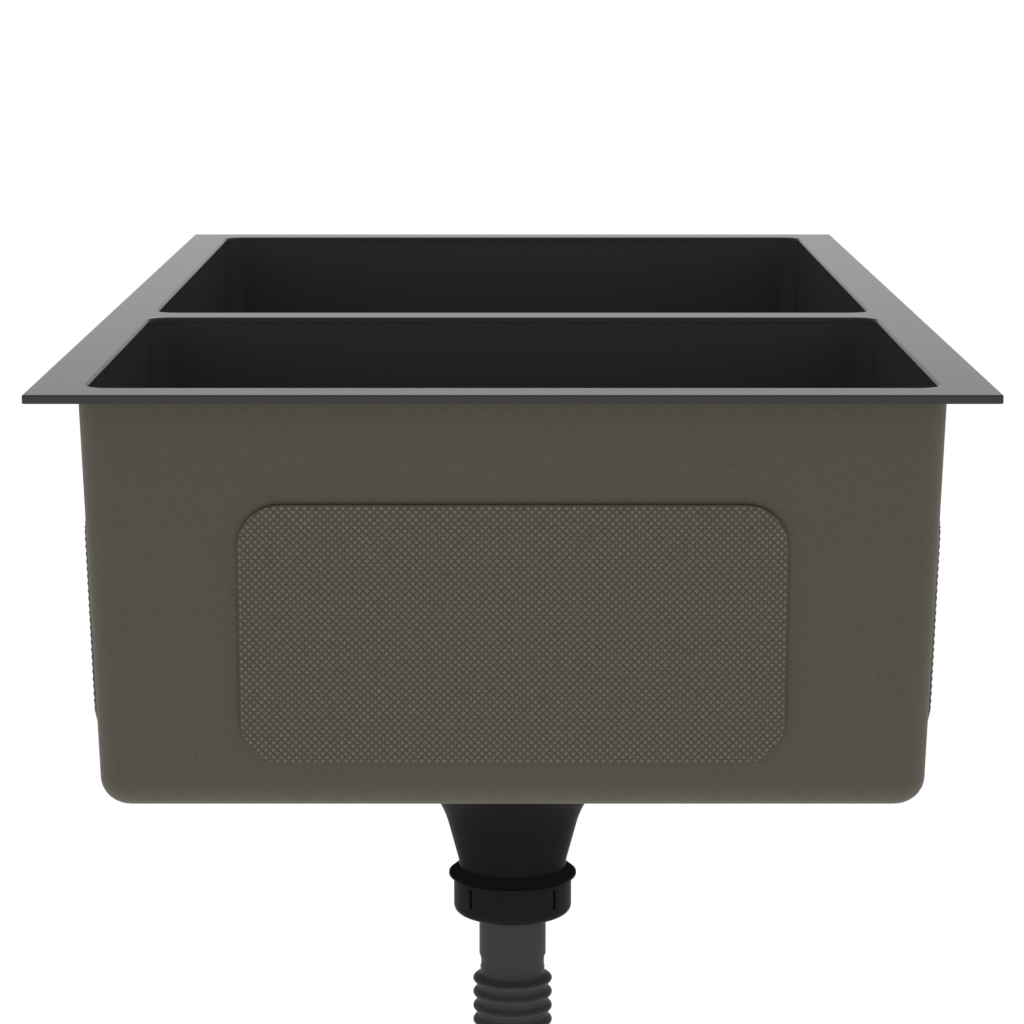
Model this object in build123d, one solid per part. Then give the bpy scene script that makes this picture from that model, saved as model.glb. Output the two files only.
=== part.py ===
from build123d import *
from math import acos, atan2, cos, degrees, hypot, pi, radians, sin, tan
import os

# Double bowl kitchen sink with basket strainer wastes, all sizes in millimetres.
# X runs across the deck, Y from the small (near) bowl to the large (far) bowl, Z is up.
# The origin is on the underside of the deck, in the middle of the divider: the plane z = 0 is the
# top of the worktop that the rim rests on.

# --- Deck: one thick plate with two openings -------------------------------------------------
DECK_WIDTH = 440.0
RIM_WIDTH = 25.0
DIVIDER_WIDTH = 25.0
NEAR_OPENING_LENGTH = 275.0
FAR_OPENING_LENGTH = 450.0
DECK_THICKNESS = 4.0
DECK_CORNER_RADIUS = 2.0
DECK_EDGE_RADIUS = 0.8
OPENING_CORNER_RADIUS = 11.0
OPENING_EDGE_RADIUS = 2.5
WELD_SEAT_DEPTH = 0.6
WELD_SEAT_CLEARANCE = 0.5

# --- Bowls: drafted sheet trays under the openings, coated outside ----------------------------
OVERALL_DEPTH = 199.0
SHEET = 1.8
COAT = 2.5
DRAFT_ANGLE = 1.77
FLOOR_EDGE_RADIUS = 10.0
DISH_DEPTH = 3.5
DISH_CLEARANCE = 1.5
DISH_BEND_RADIUS = 1.2
DISH_BORDER = 5.0
CREASE_WIDTH = 5.0
CREASE_DEPTH = 0.7
CREASE_END_MARGIN = 24.0

# --- Sound pads on the outer walls ------------------------------------------------------------
PAD_THICKNESS = 2.5
PAD_EDGE_RADIUS = 1.6
END_PAD_WIDTH = 253.0
END_PAD_HEIGHT = 122.8
END_PAD_DROP = 49.2
END_PAD_CORNER_RADIUS = 20.0
SIDE_PAD_MARGIN = 24.0
SIDE_PAD_HEIGHT = 106.7
SIDE_PAD_DROP = 56.0
SIDE_PAD_CORNER_RADIUS = 16.0

# --- Strainer: flanged cup, its gaskets and the screw that clamps it --------------------------
CUP_FLANGE_RADIUS = 56.0
CUP_MOUTH_RADIUS = 41.0
CUP_FLOOR_RADIUS = 36.0
CUP_DEPTH = 25.3
CUP_SHEET = 1.2
CUP_BEND_RADIUS = 4.0
CUP_SLOTS = 12
CUP_SLOT_WIDTH = 4.0
DRAIN_HOLE_CLEARANCE = 2.8
UPPER_GASKET = 1.5
LOWER_GASKET = 2.5
GASKET_SETBACK = 2.0
SCREW_HEAD_RADIUS = 8.0
SCREW_HEAD_HEIGHT = 2.2
SCREW_RADIUS = 4.0
SCREW_LENGTH = 23.0
SOCKET_RADIUS = 2.6
SOCKET_DEPTH = 8.0
FASTENER_CLEARANCE = 0.15

# --- Lift-out basket ---------------------------------------------------------------------------
BASKET_GAP = 1.2
BASKET_SHEET = 1.0
BASKET_BEND_RADIUS = 4.0
BASKET_RIM_OVERLAP = 2.5
BASKET_SLOTS = 12
BASKET_SLOT_WIDTH = 4.5
BASKET_SLOT_HEIGHT = 10.0
BASKET_FLOOR_SLOTS = 8
REST_GAP = 0.3
SEAL_THICKNESS = 3.0
SEAL_CLEARANCE = 1.5
POST_RADIUS = 3.5
KNOB_RADIUS = 11.0
KNOB_HEIGHT = 7.0
KNOB_EDGE_RADIUS = 3.0
KNOB_RISE = 13.0
PIN_RADIUS = 2.3
PIN_REACH = 5.0

# --- Waste body: flared funnel with a threaded spigot -----------------------------------------
FUNNEL_FLANGE_RADIUS = 55.0
FUNNEL_MOUTH_CLEARANCE = 3.8
FUNNEL_WALL = 3.0
FUNNEL_THROAT_RADIUS = 32.8
FUNNEL_THROAT_DROP = 39.4
FUNNEL_FLARE_RADIUS = 44.0
FUNNEL_NECK_RADIUS = 26.8
FUNNEL_HEIGHT = 61.9
SPIDER_ARMS = 4
SPIDER_ARM = 3.0
SPIDER_BOSS_WALL = 4.0

# --- Screwed coupling between a spigot and a hose ---------------------------------------------
SPIGOT_RADIUS = 24.0
SPIGOT_BORE = 20.5
SPIGOT_LENGTH = 11.8
RING_RADIUS = 32.4
RING_HEIGHT = 5.3
RING_EDGE_RADIUS = 4.9
NUT_RADIUS = 30.0
NUT_LENGTH = 19.6
NUT_EDGE_RADIUS = 4.0
NUT_CLEARANCE = 0.3
NUT_SLOTS = 4
NUT_SLOT_WIDTH = 1.8
NUT_SLOT_DEPTH = 1.6
NUT_SLOT_START = 3.3
NUT_SLOT_LENGTH = 9.2
WASHER = 1.8
COLLAR = 2.0
COLLAR_CLEARANCE = 0.5
TUBE_CLEARANCE = 0.4

# --- Corrugated hoses ---------------------------------------------------------------------------
CUFF_RADIUS = 17.05
CUFF_LENGTH = 29.8
NECK_RADIUS = 15.9
NECK_LENGTH = 8.8
NECK_STEP = 0.6
HOSE_BORE = 14.0
RIB_RADIUS = 20.25
RIB_VALLEY_RADIUS = 16.9
RIB_PITCH = 7.4
RIB_FLANK_SHARE = 0.22
RIB_CREST_SHARE = 0.36
HOSE_STRAIGHT = 74.5
HOSE_BEND_RADIUS = 120.0

# --- Branch tee between the two hoses -----------------------------------------------------------
TEE_REACH = 24.0
TEE_RADIUS = 23.0
TEE_BORE = 19.0
TEE_BEAD_RADIUS = 3.0
TEE_DROP = 33.0
OUTLET_RADIUS = 20.0
OUTLET_BORE = 17.5
OUTLET_LENGTH = 32.0
OUTLET_CHAMFER = 1.5

# --- Places that follow from the sizes above ----------------------------------------------------
OPENING_WIDTH = DECK_WIDTH - 2 * RIM_WIDTH
DECK_LENGTH = NEAR_OPENING_LENGTH + FAR_OPENING_LENGTH + DIVIDER_WIDTH + 2 * RIM_WIDTH
SLOPE = tan(radians(DRAFT_ANGLE))
SHEET_UNDERSIDE = DECK_THICKNESS - OVERALL_DEPTH + COAT
FLOOR_TOP = SHEET_UNDERSIDE + SHEET
DISH_TOP = FLOOR_TOP - DISH_DEPTH
DISH_UNDERSIDE = DISH_TOP - SHEET
DISH_RADIUS = CUP_FLANGE_RADIUS + DISH_CLEARANCE
DRAIN_HOLE_RADIUS = CUP_MOUTH_RADIUS + CUP_SHEET + DRAIN_HOLE_CLEARANCE
FLANGE_TOP = DISH_TOP + UPPER_GASKET + CUP_SHEET
CUP_FLOOR_TOP = FLANGE_TOP - CUP_DEPTH
CUP_UNDERSIDE = CUP_FLOOR_TOP - CUP_SHEET
BASKET_UNDERSIDE = CUP_FLOOR_TOP + REST_GAP + SEAL_THICKNESS
FUNNEL_TOP = DISH_UNDERSIDE - LOWER_GASKET
FUNNEL_MOUTH_RADIUS = CUP_MOUTH_RADIUS + CUP_SHEET + FUNNEL_MOUTH_CLEARANCE
NECK_Z = FUNNEL_TOP - FUNNEL_HEIGHT
RING_UNDERSIDE = NECK_Z - RING_HEIGHT
HOSE_OFFSET = SPIGOT_LENGTH + WASHER
RIB_START = CUFF_LENGTH + NECK_LENGTH

BOWLS = {
    "near": {"length": NEAR_OPENING_LENGTH, "y": -(DIVIDER_WIDTH + NEAR_OPENING_LENGTH) / 2, "side": -1},
    "far": {"length": FAR_OPENING_LENGTH, "y": (DIVIDER_WIDTH + FAR_OPENING_LENGTH) / 2, "side": 1},
}
TEE_Y = (BOWLS["near"]["y"] + BOWLS["far"]["y"]) / 2
RUN_Z = RING_UNDERSIDE - HOSE_OFFSET - HOSE_STRAIGHT - HOSE_BEND_RADIUS


def revolved(points, rounds=()):
    """A ring or disc about the Z axis: its half section is a polygon of (radius, z) points, and each
    entry of rounds is (index of a point, radius)."""
    face = make_face(Polyline(*points, close=True))
    for index, radius in rounds:
        r, z = points[index]
        corner = min(face.vertices(), key=lambda v: hypot(v.X - r, v.Y - z))
        face = fillet(corner, radius)
    return revolve(Plane.XZ * face, Axis.Z)


def ring(inner, outer, bottom, top):
    return revolved([(inner, bottom), (outer, bottom), (outer, top), (inner, top)])


def radial_boxes(count, inner, outer, width, bottom, top, first_angle=0.0):
    """Boxes that lie along rays from the Z axis, for slots."""
    box = Box(outer - inner, width, top - bottom)
    return [
        Rot(0, 0, first_angle + 360 * k / count) * Pos((inner + outer) / 2, 0, (bottom + top) / 2) * box
        for k in range(count)
    ]


# ------------------------------------------------------------------------------------------------
# Deck and bowls
# ------------------------------------------------------------------------------------------------
def deck_plate():
    """Thick plate with a shallow seat under each opening's edge, where a bowl's top edge is welded."""
    deck = Pos(0, (BOWLS["far"]["length"] - BOWLS["near"]["length"]) / 2) * RectangleRounded(
        DECK_WIDTH, DECK_LENGTH, DECK_CORNER_RADIUS
    )
    for bowl in BOWLS.values():
        deck -= Pos(0, bowl["y"]) * RectangleRounded(OPENING_WIDTH, bowl["length"], OPENING_CORNER_RADIUS)
    plate = extrude(deck, DECK_THICKNESS)
    top_face = plate.faces().sort_by(Axis.Z)[-1]
    openings = [edge for wire in top_face.inner_wires() for edge in wire.edges()]
    plate = fillet(openings, OPENING_EDGE_RADIUS)
    top_face = plate.faces().sort_by(Axis.Z)[-1]
    plate = fillet(top_face.outer_wire().edges(), DECK_EDGE_RADIUS)
    seat = SHEET + COAT + WELD_SEAT_CLEARANCE
    for bowl in BOWLS.values():
        outline = RectangleRounded(
            OPENING_WIDTH + 2 * seat, bowl["length"] + 2 * seat, OPENING_CORNER_RADIUS + seat
        )
        plate -= Pos(0, bowl["y"]) * extrude(outline, WELD_SEAT_DEPTH)
    return plate


def tray_block(length, outside, bottom):
    """Everything within a bowl's drafted walls, grown outwards by outside, down to bottom."""
    inset = (WELD_SEAT_DEPTH - bottom) * SLOPE
    radius = OPENING_CORNER_RADIUS + outside
    width, depth = OPENING_WIDTH + 2 * outside, length + 2 * outside
    top = Pos(0, 0, WELD_SEAT_DEPTH) * RectangleRounded(width, depth, radius)
    base = Pos(0, 0, bottom) * RectangleRounded(width - 2 * inset, depth - 2 * inset, radius)
    block = loft([top.face(), base.face()], ruled=True)
    return fillet(block.edges().group_by(Axis.Z)[0], FLOOR_EDGE_RADIUS + outside)


def drain_dish():
    """Pressed dish round the drain hole, with the bends of a sheet of constant thickness."""
    border = DISH_RADIUS + DISH_BORDER
    section = [
        (border, FLOOR_TOP),
        (DISH_RADIUS, FLOOR_TOP),
        (DISH_RADIUS, DISH_TOP),
        (DRAIN_HOLE_RADIUS, DISH_TOP),
        (DRAIN_HOLE_RADIUS, DISH_UNDERSIDE),
        (DISH_RADIUS + SHEET, DISH_UNDERSIDE),
        (DISH_RADIUS + SHEET, SHEET_UNDERSIDE),
        (border, SHEET_UNDERSIDE),
    ]
    return revolved(section, [(1, DISH_BEND_RADIUS), (2, DISH_BEND_RADIUS), (5, DISH_BEND_RADIUS)])


def drainage_creases(length):
    """Shallow V grooves in the floor, from the dish towards the four corners."""
    wall_shift = (WELD_SEAT_DEPTH - FLOOR_TOP) * SLOPE
    corner = (OPENING_WIDTH / 2 - wall_shift, length / 2 - wall_shift)
    start, end = DISH_RADIUS + DISH_BORDER, hypot(*corner) - CREASE_END_MARGIN
    section = Plane.YZ * make_face(
        Polyline((-CREASE_WIDTH / 2, 0), (0, -CREASE_DEPTH), (CREASE_WIDTH / 2, 0), close=True)
    )
    groove = Pos(start, 0, FLOOR_TOP) * extrude(section, end - start)
    angle = degrees(atan2(corner[1], corner[0]))
    return [Rot(0, 0, turn) * groove for turn in (angle, 180 - angle, 180 + angle, -angle)]


def bowl_tray(bowl):
    tray = tray_block(bowl["length"], SHEET, SHEET_UNDERSIDE) - tray_block(bowl["length"], 0, FLOOR_TOP)
    tray -= Pos(0, 0, FLOOR_TOP) * Cylinder(DISH_RADIUS + DISH_BORDER, 4 * SHEET)
    tray += drain_dish()
    tray -= drainage_creases(bowl["length"])
    return Pos(0, bowl["y"], 0) * tray


def bowl_coat(bowl):
    skin = tray_block(bowl["length"], SHEET + COAT, SHEET_UNDERSIDE - COAT)
    skin -= tray_block(bowl["length"], SHEET, SHEET_UNDERSIDE)
    skin -= Pos(0, 0, SHEET_UNDERSIDE) * Cylinder(DISH_RADIUS + DISH_BORDER, 4 * COAT)
    return Pos(0, bowl["y"], 0) * skin


# ------------------------------------------------------------------------------------------------
# Sound pads
# ------------------------------------------------------------------------------------------------
def wall_plane(bowl, direction, z):
    """Plane on the coated outer wall that faces direction, at height z, with local Y up the wall."""
    half = (OPENING_WIDTH if direction[0] else bowl["length"]) / 2 + SHEET + COAT
    half += (z - WELD_SEAT_DEPTH) * SLOPE
    tilt = radians(DRAFT_ANGLE)
    normal = Vector(direction[0] * cos(tilt), direction[1] * cos(tilt), -sin(tilt))
    along = Vector(-direction[1], direction[0], 0)
    return Plane((direction[0] * half, bowl["y"] + direction[1] * half, z), x_dir=along, z_dir=normal)


def sound_pad(bowl, direction, width, height, drop, corner):
    pad = extrude(RectangleRounded(width, height, corner), PAD_THICKNESS)
    pad = fillet(pad.edges().group_by(Axis.Z)[-1], PAD_EDGE_RADIUS)
    return wall_plane(bowl, direction, -drop - height / 2).location * pad


def end_pad(bowl):
    size = (END_PAD_WIDTH, END_PAD_HEIGHT, END_PAD_DROP, END_PAD_CORNER_RADIUS)
    return sound_pad(bowl, (0, bowl["side"]), *size)


def side_pad(bowl, side):
    width = bowl["length"] - 2 * SIDE_PAD_MARGIN
    return sound_pad(bowl, (side, 0), width, SIDE_PAD_HEIGHT, SIDE_PAD_DROP, SIDE_PAD_CORNER_RADIUS)


# ------------------------------------------------------------------------------------------------
# Strainer and basket, each about the drain's own Z axis
# ------------------------------------------------------------------------------------------------
def strainer_cup():
    mouth, base = CUP_MOUTH_RADIUS, CUP_FLOOR_RADIUS
    hole = SCREW_RADIUS + FASTENER_CLEARANCE
    section = [
        (CUP_FLANGE_RADIUS, FLANGE_TOP),
        (mouth, FLANGE_TOP),
        (base, CUP_FLOOR_TOP),
        (hole, CUP_FLOOR_TOP),
        (hole, CUP_UNDERSIDE),
        (base + CUP_SHEET, CUP_UNDERSIDE),
        (mouth + CUP_SHEET, FLANGE_TOP - CUP_SHEET),
        (CUP_FLANGE_RADIUS, FLANGE_TOP - CUP_SHEET),
    ]
    inner, outer = CUP_BEND_RADIUS, CUP_BEND_RADIUS + CUP_SHEET
    cup = revolved(section, [(1, outer / 2), (6, inner / 2 - CUP_SHEET / 2), (2, inner), (5, outer)])
    inset = SCREW_HEAD_RADIUS + CUP_SLOT_WIDTH
    reach = base - CUP_BEND_RADIUS - CUP_SLOT_WIDTH / 2
    slots = radial_boxes(
        CUP_SLOTS, inset, reach, CUP_SLOT_WIDTH, CUP_UNDERSIDE - CUP_SHEET, CUP_FLOOR_TOP + CUP_SHEET
    )
    return cup - slots


def upper_gasket():
    return ring(DRAIN_HOLE_RADIUS, CUP_FLANGE_RADIUS - GASKET_SETBACK, DISH_TOP, DISH_TOP + UPPER_GASKET)


def lower_gasket():
    return ring(FUNNEL_MOUTH_RADIUS, FUNNEL_FLANGE_RADIUS - GASKET_SETBACK, FUNNEL_TOP, DISH_UNDERSIDE)


def centre_screw():
    shank_end = CUP_FLOOR_TOP - SCREW_LENGTH
    head_top = CUP_FLOOR_TOP + SCREW_HEAD_HEIGHT
    section = [
        (0, shank_end),
        (SCREW_RADIUS, shank_end),
        (SCREW_RADIUS, CUP_FLOOR_TOP),
        (SCREW_HEAD_RADIUS, CUP_FLOOR_TOP),
        (SCREW_HEAD_RADIUS, head_top),
        (SOCKET_RADIUS, head_top),
        (SOCKET_RADIUS, head_top - SOCKET_DEPTH),
        (0, head_top - SOCKET_DEPTH),
    ]
    return revolved(section, [(4, SCREW_HEAD_HEIGHT / 2)])


def basket():
    """Perforated sheet cup with an out-turned rim; its wall keeps BASKET_GAP from the strainer's."""
    top = FLANGE_TOP + REST_GAP + BASKET_SHEET
    flare = (CUP_MOUTH_RADIUS - CUP_FLOOR_RADIUS) / CUP_DEPTH
    wall_at_floor = CUP_FLOOR_RADIUS - BASKET_GAP + (BASKET_UNDERSIDE - CUP_FLOOR_TOP) * flare
    wall_at_top = CUP_MOUTH_RADIUS - BASKET_GAP
    rim = CUP_MOUTH_RADIUS + BASKET_RIM_OVERLAP
    hole = PIN_RADIUS + FASTENER_CLEARANCE
    floor_top = BASKET_UNDERSIDE + BASKET_SHEET
    section = [
        (rim, top),
        (wall_at_top - BASKET_SHEET, top),
        (wall_at_floor - BASKET_SHEET, floor_top),
        (hole, floor_top),
        (hole, BASKET_UNDERSIDE),
        (wall_at_floor, BASKET_UNDERSIDE),
        (wall_at_top, top - BASKET_SHEET),
        (rim, top - BASKET_SHEET),
    ]
    bends = [
        (1, BASKET_BEND_RADIUS / 2),
        (2, BASKET_BEND_RADIUS - BASKET_SHEET),
        (5, BASKET_BEND_RADIUS),
        (6, BASKET_BEND_RADIUS / 2 - BASKET_SHEET),
    ]
    shell = revolved(section, bends)
    middle = (top + BASKET_UNDERSIDE) / 2
    windows = radial_boxes(
        BASKET_SLOTS,
        wall_at_floor - 2 * BASKET_BEND_RADIUS,
        rim,
        BASKET_SLOT_WIDTH,
        middle - BASKET_SLOT_HEIGHT / 2,
        middle + BASKET_SLOT_HEIGHT / 2,
    )
    floor_slots = radial_boxes(
        BASKET_FLOOR_SLOTS,
        wall_at_floor / 3,
        wall_at_floor - 2 * BASKET_BEND_RADIUS,
        BASKET_SLOT_WIDTH,
        BASKET_UNDERSIDE - BASKET_SHEET,
        floor_top + BASKET_SHEET,
    )
    return shell - windows - floor_slots


def basket_knob():
    """Turned post with a mushroom knob on top and a pin that enters the screw's socket."""
    floor_top = BASKET_UNDERSIDE + BASKET_SHEET
    top = FLOOR_TOP + KNOB_RISE
    pin_end = CUP_FLOOR_TOP + SCREW_HEAD_HEIGHT - PIN_REACH
    section = [
        (0, pin_end),
        (PIN_RADIUS, pin_end),
        (PIN_RADIUS, floor_top),
        (POST_RADIUS, floor_top),
        (POST_RADIUS, top - KNOB_HEIGHT),
        (KNOB_RADIUS, top - KNOB_HEIGHT),
        (KNOB_RADIUS, top),
        (0, top),
    ]
    return revolved(section, [(4, KNOB_EDGE_RADIUS), (5, KNOB_HEIGHT / 4), (6, KNOB_EDGE_RADIUS)])


def basket_seal():
    """Rubber disc under the basket; it closes the strainer's floor slots when the basket is down."""
    inner = SCREW_HEAD_RADIUS + SEAL_CLEARANCE
    outer = CUP_FLOOR_RADIUS - CUP_BEND_RADIUS
    return ring(inner, outer, BASKET_UNDERSIDE - SEAL_THICKNESS, BASKET_UNDERSIDE)


# ------------------------------------------------------------------------------------------------
# Waste body: flared funnel, spigot, and a spider that takes the centre screw; its rubber ring
# ------------------------------------------------------------------------------------------------
def waste_body():
    throat_z = FUNNEL_TOP - FUNNEL_THROAT_DROP
    spigot_end = RING_UNDERSIDE - SPIGOT_LENGTH
    cone = atan2(FUNNEL_THROAT_RADIUS - FUNNEL_NECK_RADIUS, throat_z - NECK_Z)
    centre_r = FUNNEL_THROAT_RADIUS + FUNNEL_FLARE_RADIUS * cos(cone)
    centre_z = throat_z - FUNNEL_FLARE_RADIUS * sin(cone)

    def flare(radius, mouth):
        """Trumpet arc from the radius called mouth down to the start of the cone."""
        start = degrees(acos((mouth - centre_r) / radius))
        return CenterArc((centre_r, centre_z), radius, start, 180 - degrees(cone) - start)

    outer = flare(FUNNEL_FLARE_RADIUS, FUNNEL_FLANGE_RADIUS)
    spigot = Polyline(
        outer @ 1, (FUNNEL_NECK_RADIUS, NECK_Z), (SPIGOT_RADIUS, NECK_Z), (SPIGOT_RADIUS, spigot_end),
        (0, spigot_end), (0, FUNNEL_TOP), (FUNNEL_FLANGE_RADIUS, FUNNEL_TOP), outer @ 0,
    )  # fmt: skip
    solid = revolve(Plane.XZ * make_face([outer, spigot]), Axis.Z)

    inner = flare(FUNNEL_FLARE_RADIUS + FUNNEL_WALL, FUNNEL_MOUTH_RADIUS)
    bore = Polyline(
        inner @ 1, (SPIGOT_BORE, NECK_Z), (SPIGOT_BORE, spigot_end), (0, spigot_end),
        (0, FUNNEL_TOP), (FUNNEL_MOUTH_RADIUS, FUNNEL_TOP), inner @ 0,
    )  # fmt: skip
    cavity = revolve(Plane.XZ * make_face([inner, bore]), Axis.Z)

    arms_top = CUP_UNDERSIDE - SPIDER_ARM
    arms_bottom = CUP_FLOOR_TOP - SCREW_LENGTH
    spider = Pos(0, 0, (CUP_UNDERSIDE + arms_bottom) / 2) * Cylinder(
        SCREW_RADIUS + SPIDER_BOSS_WALL, CUP_UNDERSIDE - arms_bottom
    )
    spider += radial_boxes(SPIDER_ARMS, 0, FUNNEL_FLANGE_RADIUS, SPIDER_ARM, arms_bottom, arms_top, 45)
    body = solid - cavity + (spider & solid)
    return body - Pos(0, 0, CUP_UNDERSIDE) * Cylinder(SCREW_RADIUS + FASTENER_CLEARANCE, 4 * SCREW_LENGTH)


def waste_ring():
    """Rubber ring between the funnel's neck and the nut, with its top edge rounded over."""
    inner = SPIGOT_RADIUS + NUT_CLEARANCE
    section = [
        (inner, RING_UNDERSIDE),
        (RING_RADIUS, RING_UNDERSIDE),
        (RING_RADIUS, NECK_Z),
        (inner, NECK_Z),
    ]
    return revolved(section, [(2, RING_EDGE_RADIUS)])


# ------------------------------------------------------------------------------------------------
# Couplings: each is drawn along local +Z, from what its nut is screwed up against
# ------------------------------------------------------------------------------------------------
def coupling_nut():
    start, lip = NUT_CLEARANCE, SPIGOT_LENGTH + WASHER + COLLAR
    thread, mouth = SPIGOT_RADIUS + NUT_CLEARANCE, CUFF_RADIUS + TUBE_CLEARANCE
    section = [
        (thread, start),
        (NUT_RADIUS, start),
        (NUT_RADIUS, NUT_LENGTH),
        (mouth, NUT_LENGTH),
        (mouth, lip),
        (thread, lip),
    ]
    nut = revolved(section, [(2, NUT_EDGE_RADIUS)])
    slots = radial_boxes(
        NUT_SLOTS, NUT_RADIUS - NUT_SLOT_DEPTH, NUT_RADIUS + NUT_SLOT_DEPTH, NUT_SLOT_WIDTH,
        NUT_SLOT_START, NUT_SLOT_START + NUT_SLOT_LENGTH, 45,
    )  # fmt: skip
    return nut - slots


def coupling_washer():
    return ring(SPIGOT_BORE, SPIGOT_RADIUS - COLLAR_CLEARANCE, SPIGOT_LENGTH, HOSE_OFFSET)


def drain_joint(bowl):
    """Where the underside of a waste body's ring is, pointing down the hose."""
    return Plane((0, bowl["y"], RING_UNDERSIDE), x_dir=(1, 0, 0), z_dir=(0, 0, -1)).location


def tee_joint(bowl):
    """Where the underside of the tee's bead is on the side of that bowl, pointing up the hose."""
    side = bowl["side"]
    return Plane((0, TEE_Y + side * TEE_REACH, RUN_Z), x_dir=(1, 0, 0), z_dir=(0, side, 0)).location


# ------------------------------------------------------------------------------------------------
# Hoses: straight down from the nut, a quarter bend, and straight into the tee
# ------------------------------------------------------------------------------------------------
def hose_route(bowl):
    """Length of the hose's centre line, and a function that gives the plane across it at a distance."""
    towards_tee = -bowl["side"]
    start_z = RING_UNDERSIDE - HOSE_OFFSET
    bend = HOSE_BEND_RADIUS * pi / 2
    run = abs(TEE_Y - bowl["y"]) - HOSE_BEND_RADIUS - TEE_REACH - HOSE_OFFSET

    def plane_at(s):
        if s <= HOSE_STRAIGHT:
            y, z, turn = 0, -s, 0
        elif s < HOSE_STRAIGHT + bend:
            turn = (s - HOSE_STRAIGHT) / HOSE_BEND_RADIUS
            y = HOSE_BEND_RADIUS * (1 - cos(turn))
            z = -HOSE_STRAIGHT - HOSE_BEND_RADIUS * sin(turn)
        else:
            y, z, turn = HOSE_BEND_RADIUS + s - HOSE_STRAIGHT - bend, RUN_Z - start_z, pi / 2
        place = (0, bowl["y"] + towards_tee * y, start_z + z)
        return Plane(place, x_dir=(1, 0, 0), z_dir=(0, towards_tee * sin(turn), -cos(turn)))

    return HOSE_STRAIGHT + bend + run, plane_at


def hose_sections(length):
    """(distance, radius) of every circle: a cuff and a neck at each end, and 4 circles for each rib."""
    ribs = round((length - 2 * RIB_START) / RIB_PITCH)
    pitch = (length - 2 * RIB_START) / ribs
    cuff = [(0, CUFF_RADIUS), (CUFF_LENGTH, CUFF_RADIUS), (CUFF_LENGTH + NECK_STEP, NECK_RADIUS)]
    cuff.append((RIB_START - NECK_STEP, NECK_RADIUS))
    sections = list(cuff)
    for k in range(ribs):
        valley = RIB_START + k * pitch
        crest = valley + RIB_FLANK_SHARE * pitch
        sections.append((valley, RIB_VALLEY_RADIUS))
        sections.append((crest, RIB_RADIUS))
        sections.append((crest + RIB_CREST_SHARE * pitch, RIB_RADIUS))
        sections.append((crest + (RIB_CREST_SHARE + RIB_FLANK_SHARE) * pitch, RIB_VALLEY_RADIUS))
    return sections + [(length - distance, radius) for distance, radius in reversed(cuff)]


def corrugated_hose(bowl):
    length, plane_at = hose_route(bowl)
    circles = [(plane_at(s) * Circle(r)).face() for s, r in hose_sections(length)]
    hose = loft(circles, ruled=True)
    collar = Pos(0, 0, COLLAR / 2) * Cylinder(SPIGOT_RADIUS - COLLAR_CLEARANCE, COLLAR)
    hose += drain_joint(bowl) * Pos(0, 0, HOSE_OFFSET) * collar
    hose += tee_joint(bowl) * Pos(0, 0, HOSE_OFFSET) * collar
    start, end = plane_at(0), plane_at(length)
    bend_start, bend_end = plane_at(HOSE_STRAIGHT), plane_at(HOSE_STRAIGHT + HOSE_BEND_RADIUS * pi / 2)
    first = Line(start.origin, bend_start.origin)
    route = first + TangentArc(bend_start.origin, bend_end.origin, tangent=bend_start.z_dir)
    route += Line(bend_end.origin, end.origin)
    return hose - sweep(start * Circle(HOSE_BORE), path=route)


# ------------------------------------------------------------------------------------------------
# Branch tee: a run between the two hoses and an outlet straight down
# ------------------------------------------------------------------------------------------------
def branch_tee():
    bead_gap = TEE_REACH - 2 * TEE_BEAD_RADIUS
    reach = TEE_REACH + SPIGOT_LENGTH
    half = [
        (0, 0),
        (TEE_RADIUS, 0),
        (TEE_RADIUS, bead_gap),
        (SPIGOT_RADIUS + 2 * TEE_BEAD_RADIUS, bead_gap),
        (SPIGOT_RADIUS + 2 * TEE_BEAD_RADIUS, TEE_REACH),
        (SPIGOT_RADIUS, TEE_REACH),
        (SPIGOT_RADIUS, reach),
        (0, reach),
    ]
    arm = revolved(half, [(3, TEE_BEAD_RADIUS * 0.9), (4, TEE_BEAD_RADIUS * 0.9)])
    tee = Rot(-90, 0, 0) * arm + Rot(90, 0, 0) * arm
    outlet = [
        (0, 0),
        (TEE_RADIUS, 0),
        (TEE_RADIUS, TEE_DROP),
        (OUTLET_RADIUS, TEE_DROP),
        (OUTLET_RADIUS, TEE_DROP + OUTLET_LENGTH - OUTLET_CHAMFER),
        (OUTLET_RADIUS - OUTLET_CHAMFER, TEE_DROP + OUTLET_LENGTH),
        (0, TEE_DROP + OUTLET_LENGTH),
    ]
    tee += Rot(180, 0, 0) * revolved(outlet, [(2, (TEE_RADIUS - OUTLET_RADIUS) / 2)])
    tee -= Rot(90, 0, 0) * Cylinder(TEE_BORE, 4 * reach)
    depth = TEE_DROP + OUTLET_LENGTH
    tee -= Pos(0, 0, -depth / 2) * Cylinder(OUTLET_BORE, depth)
    return Pos(0, TEE_Y, RUN_Z) * tee


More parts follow.
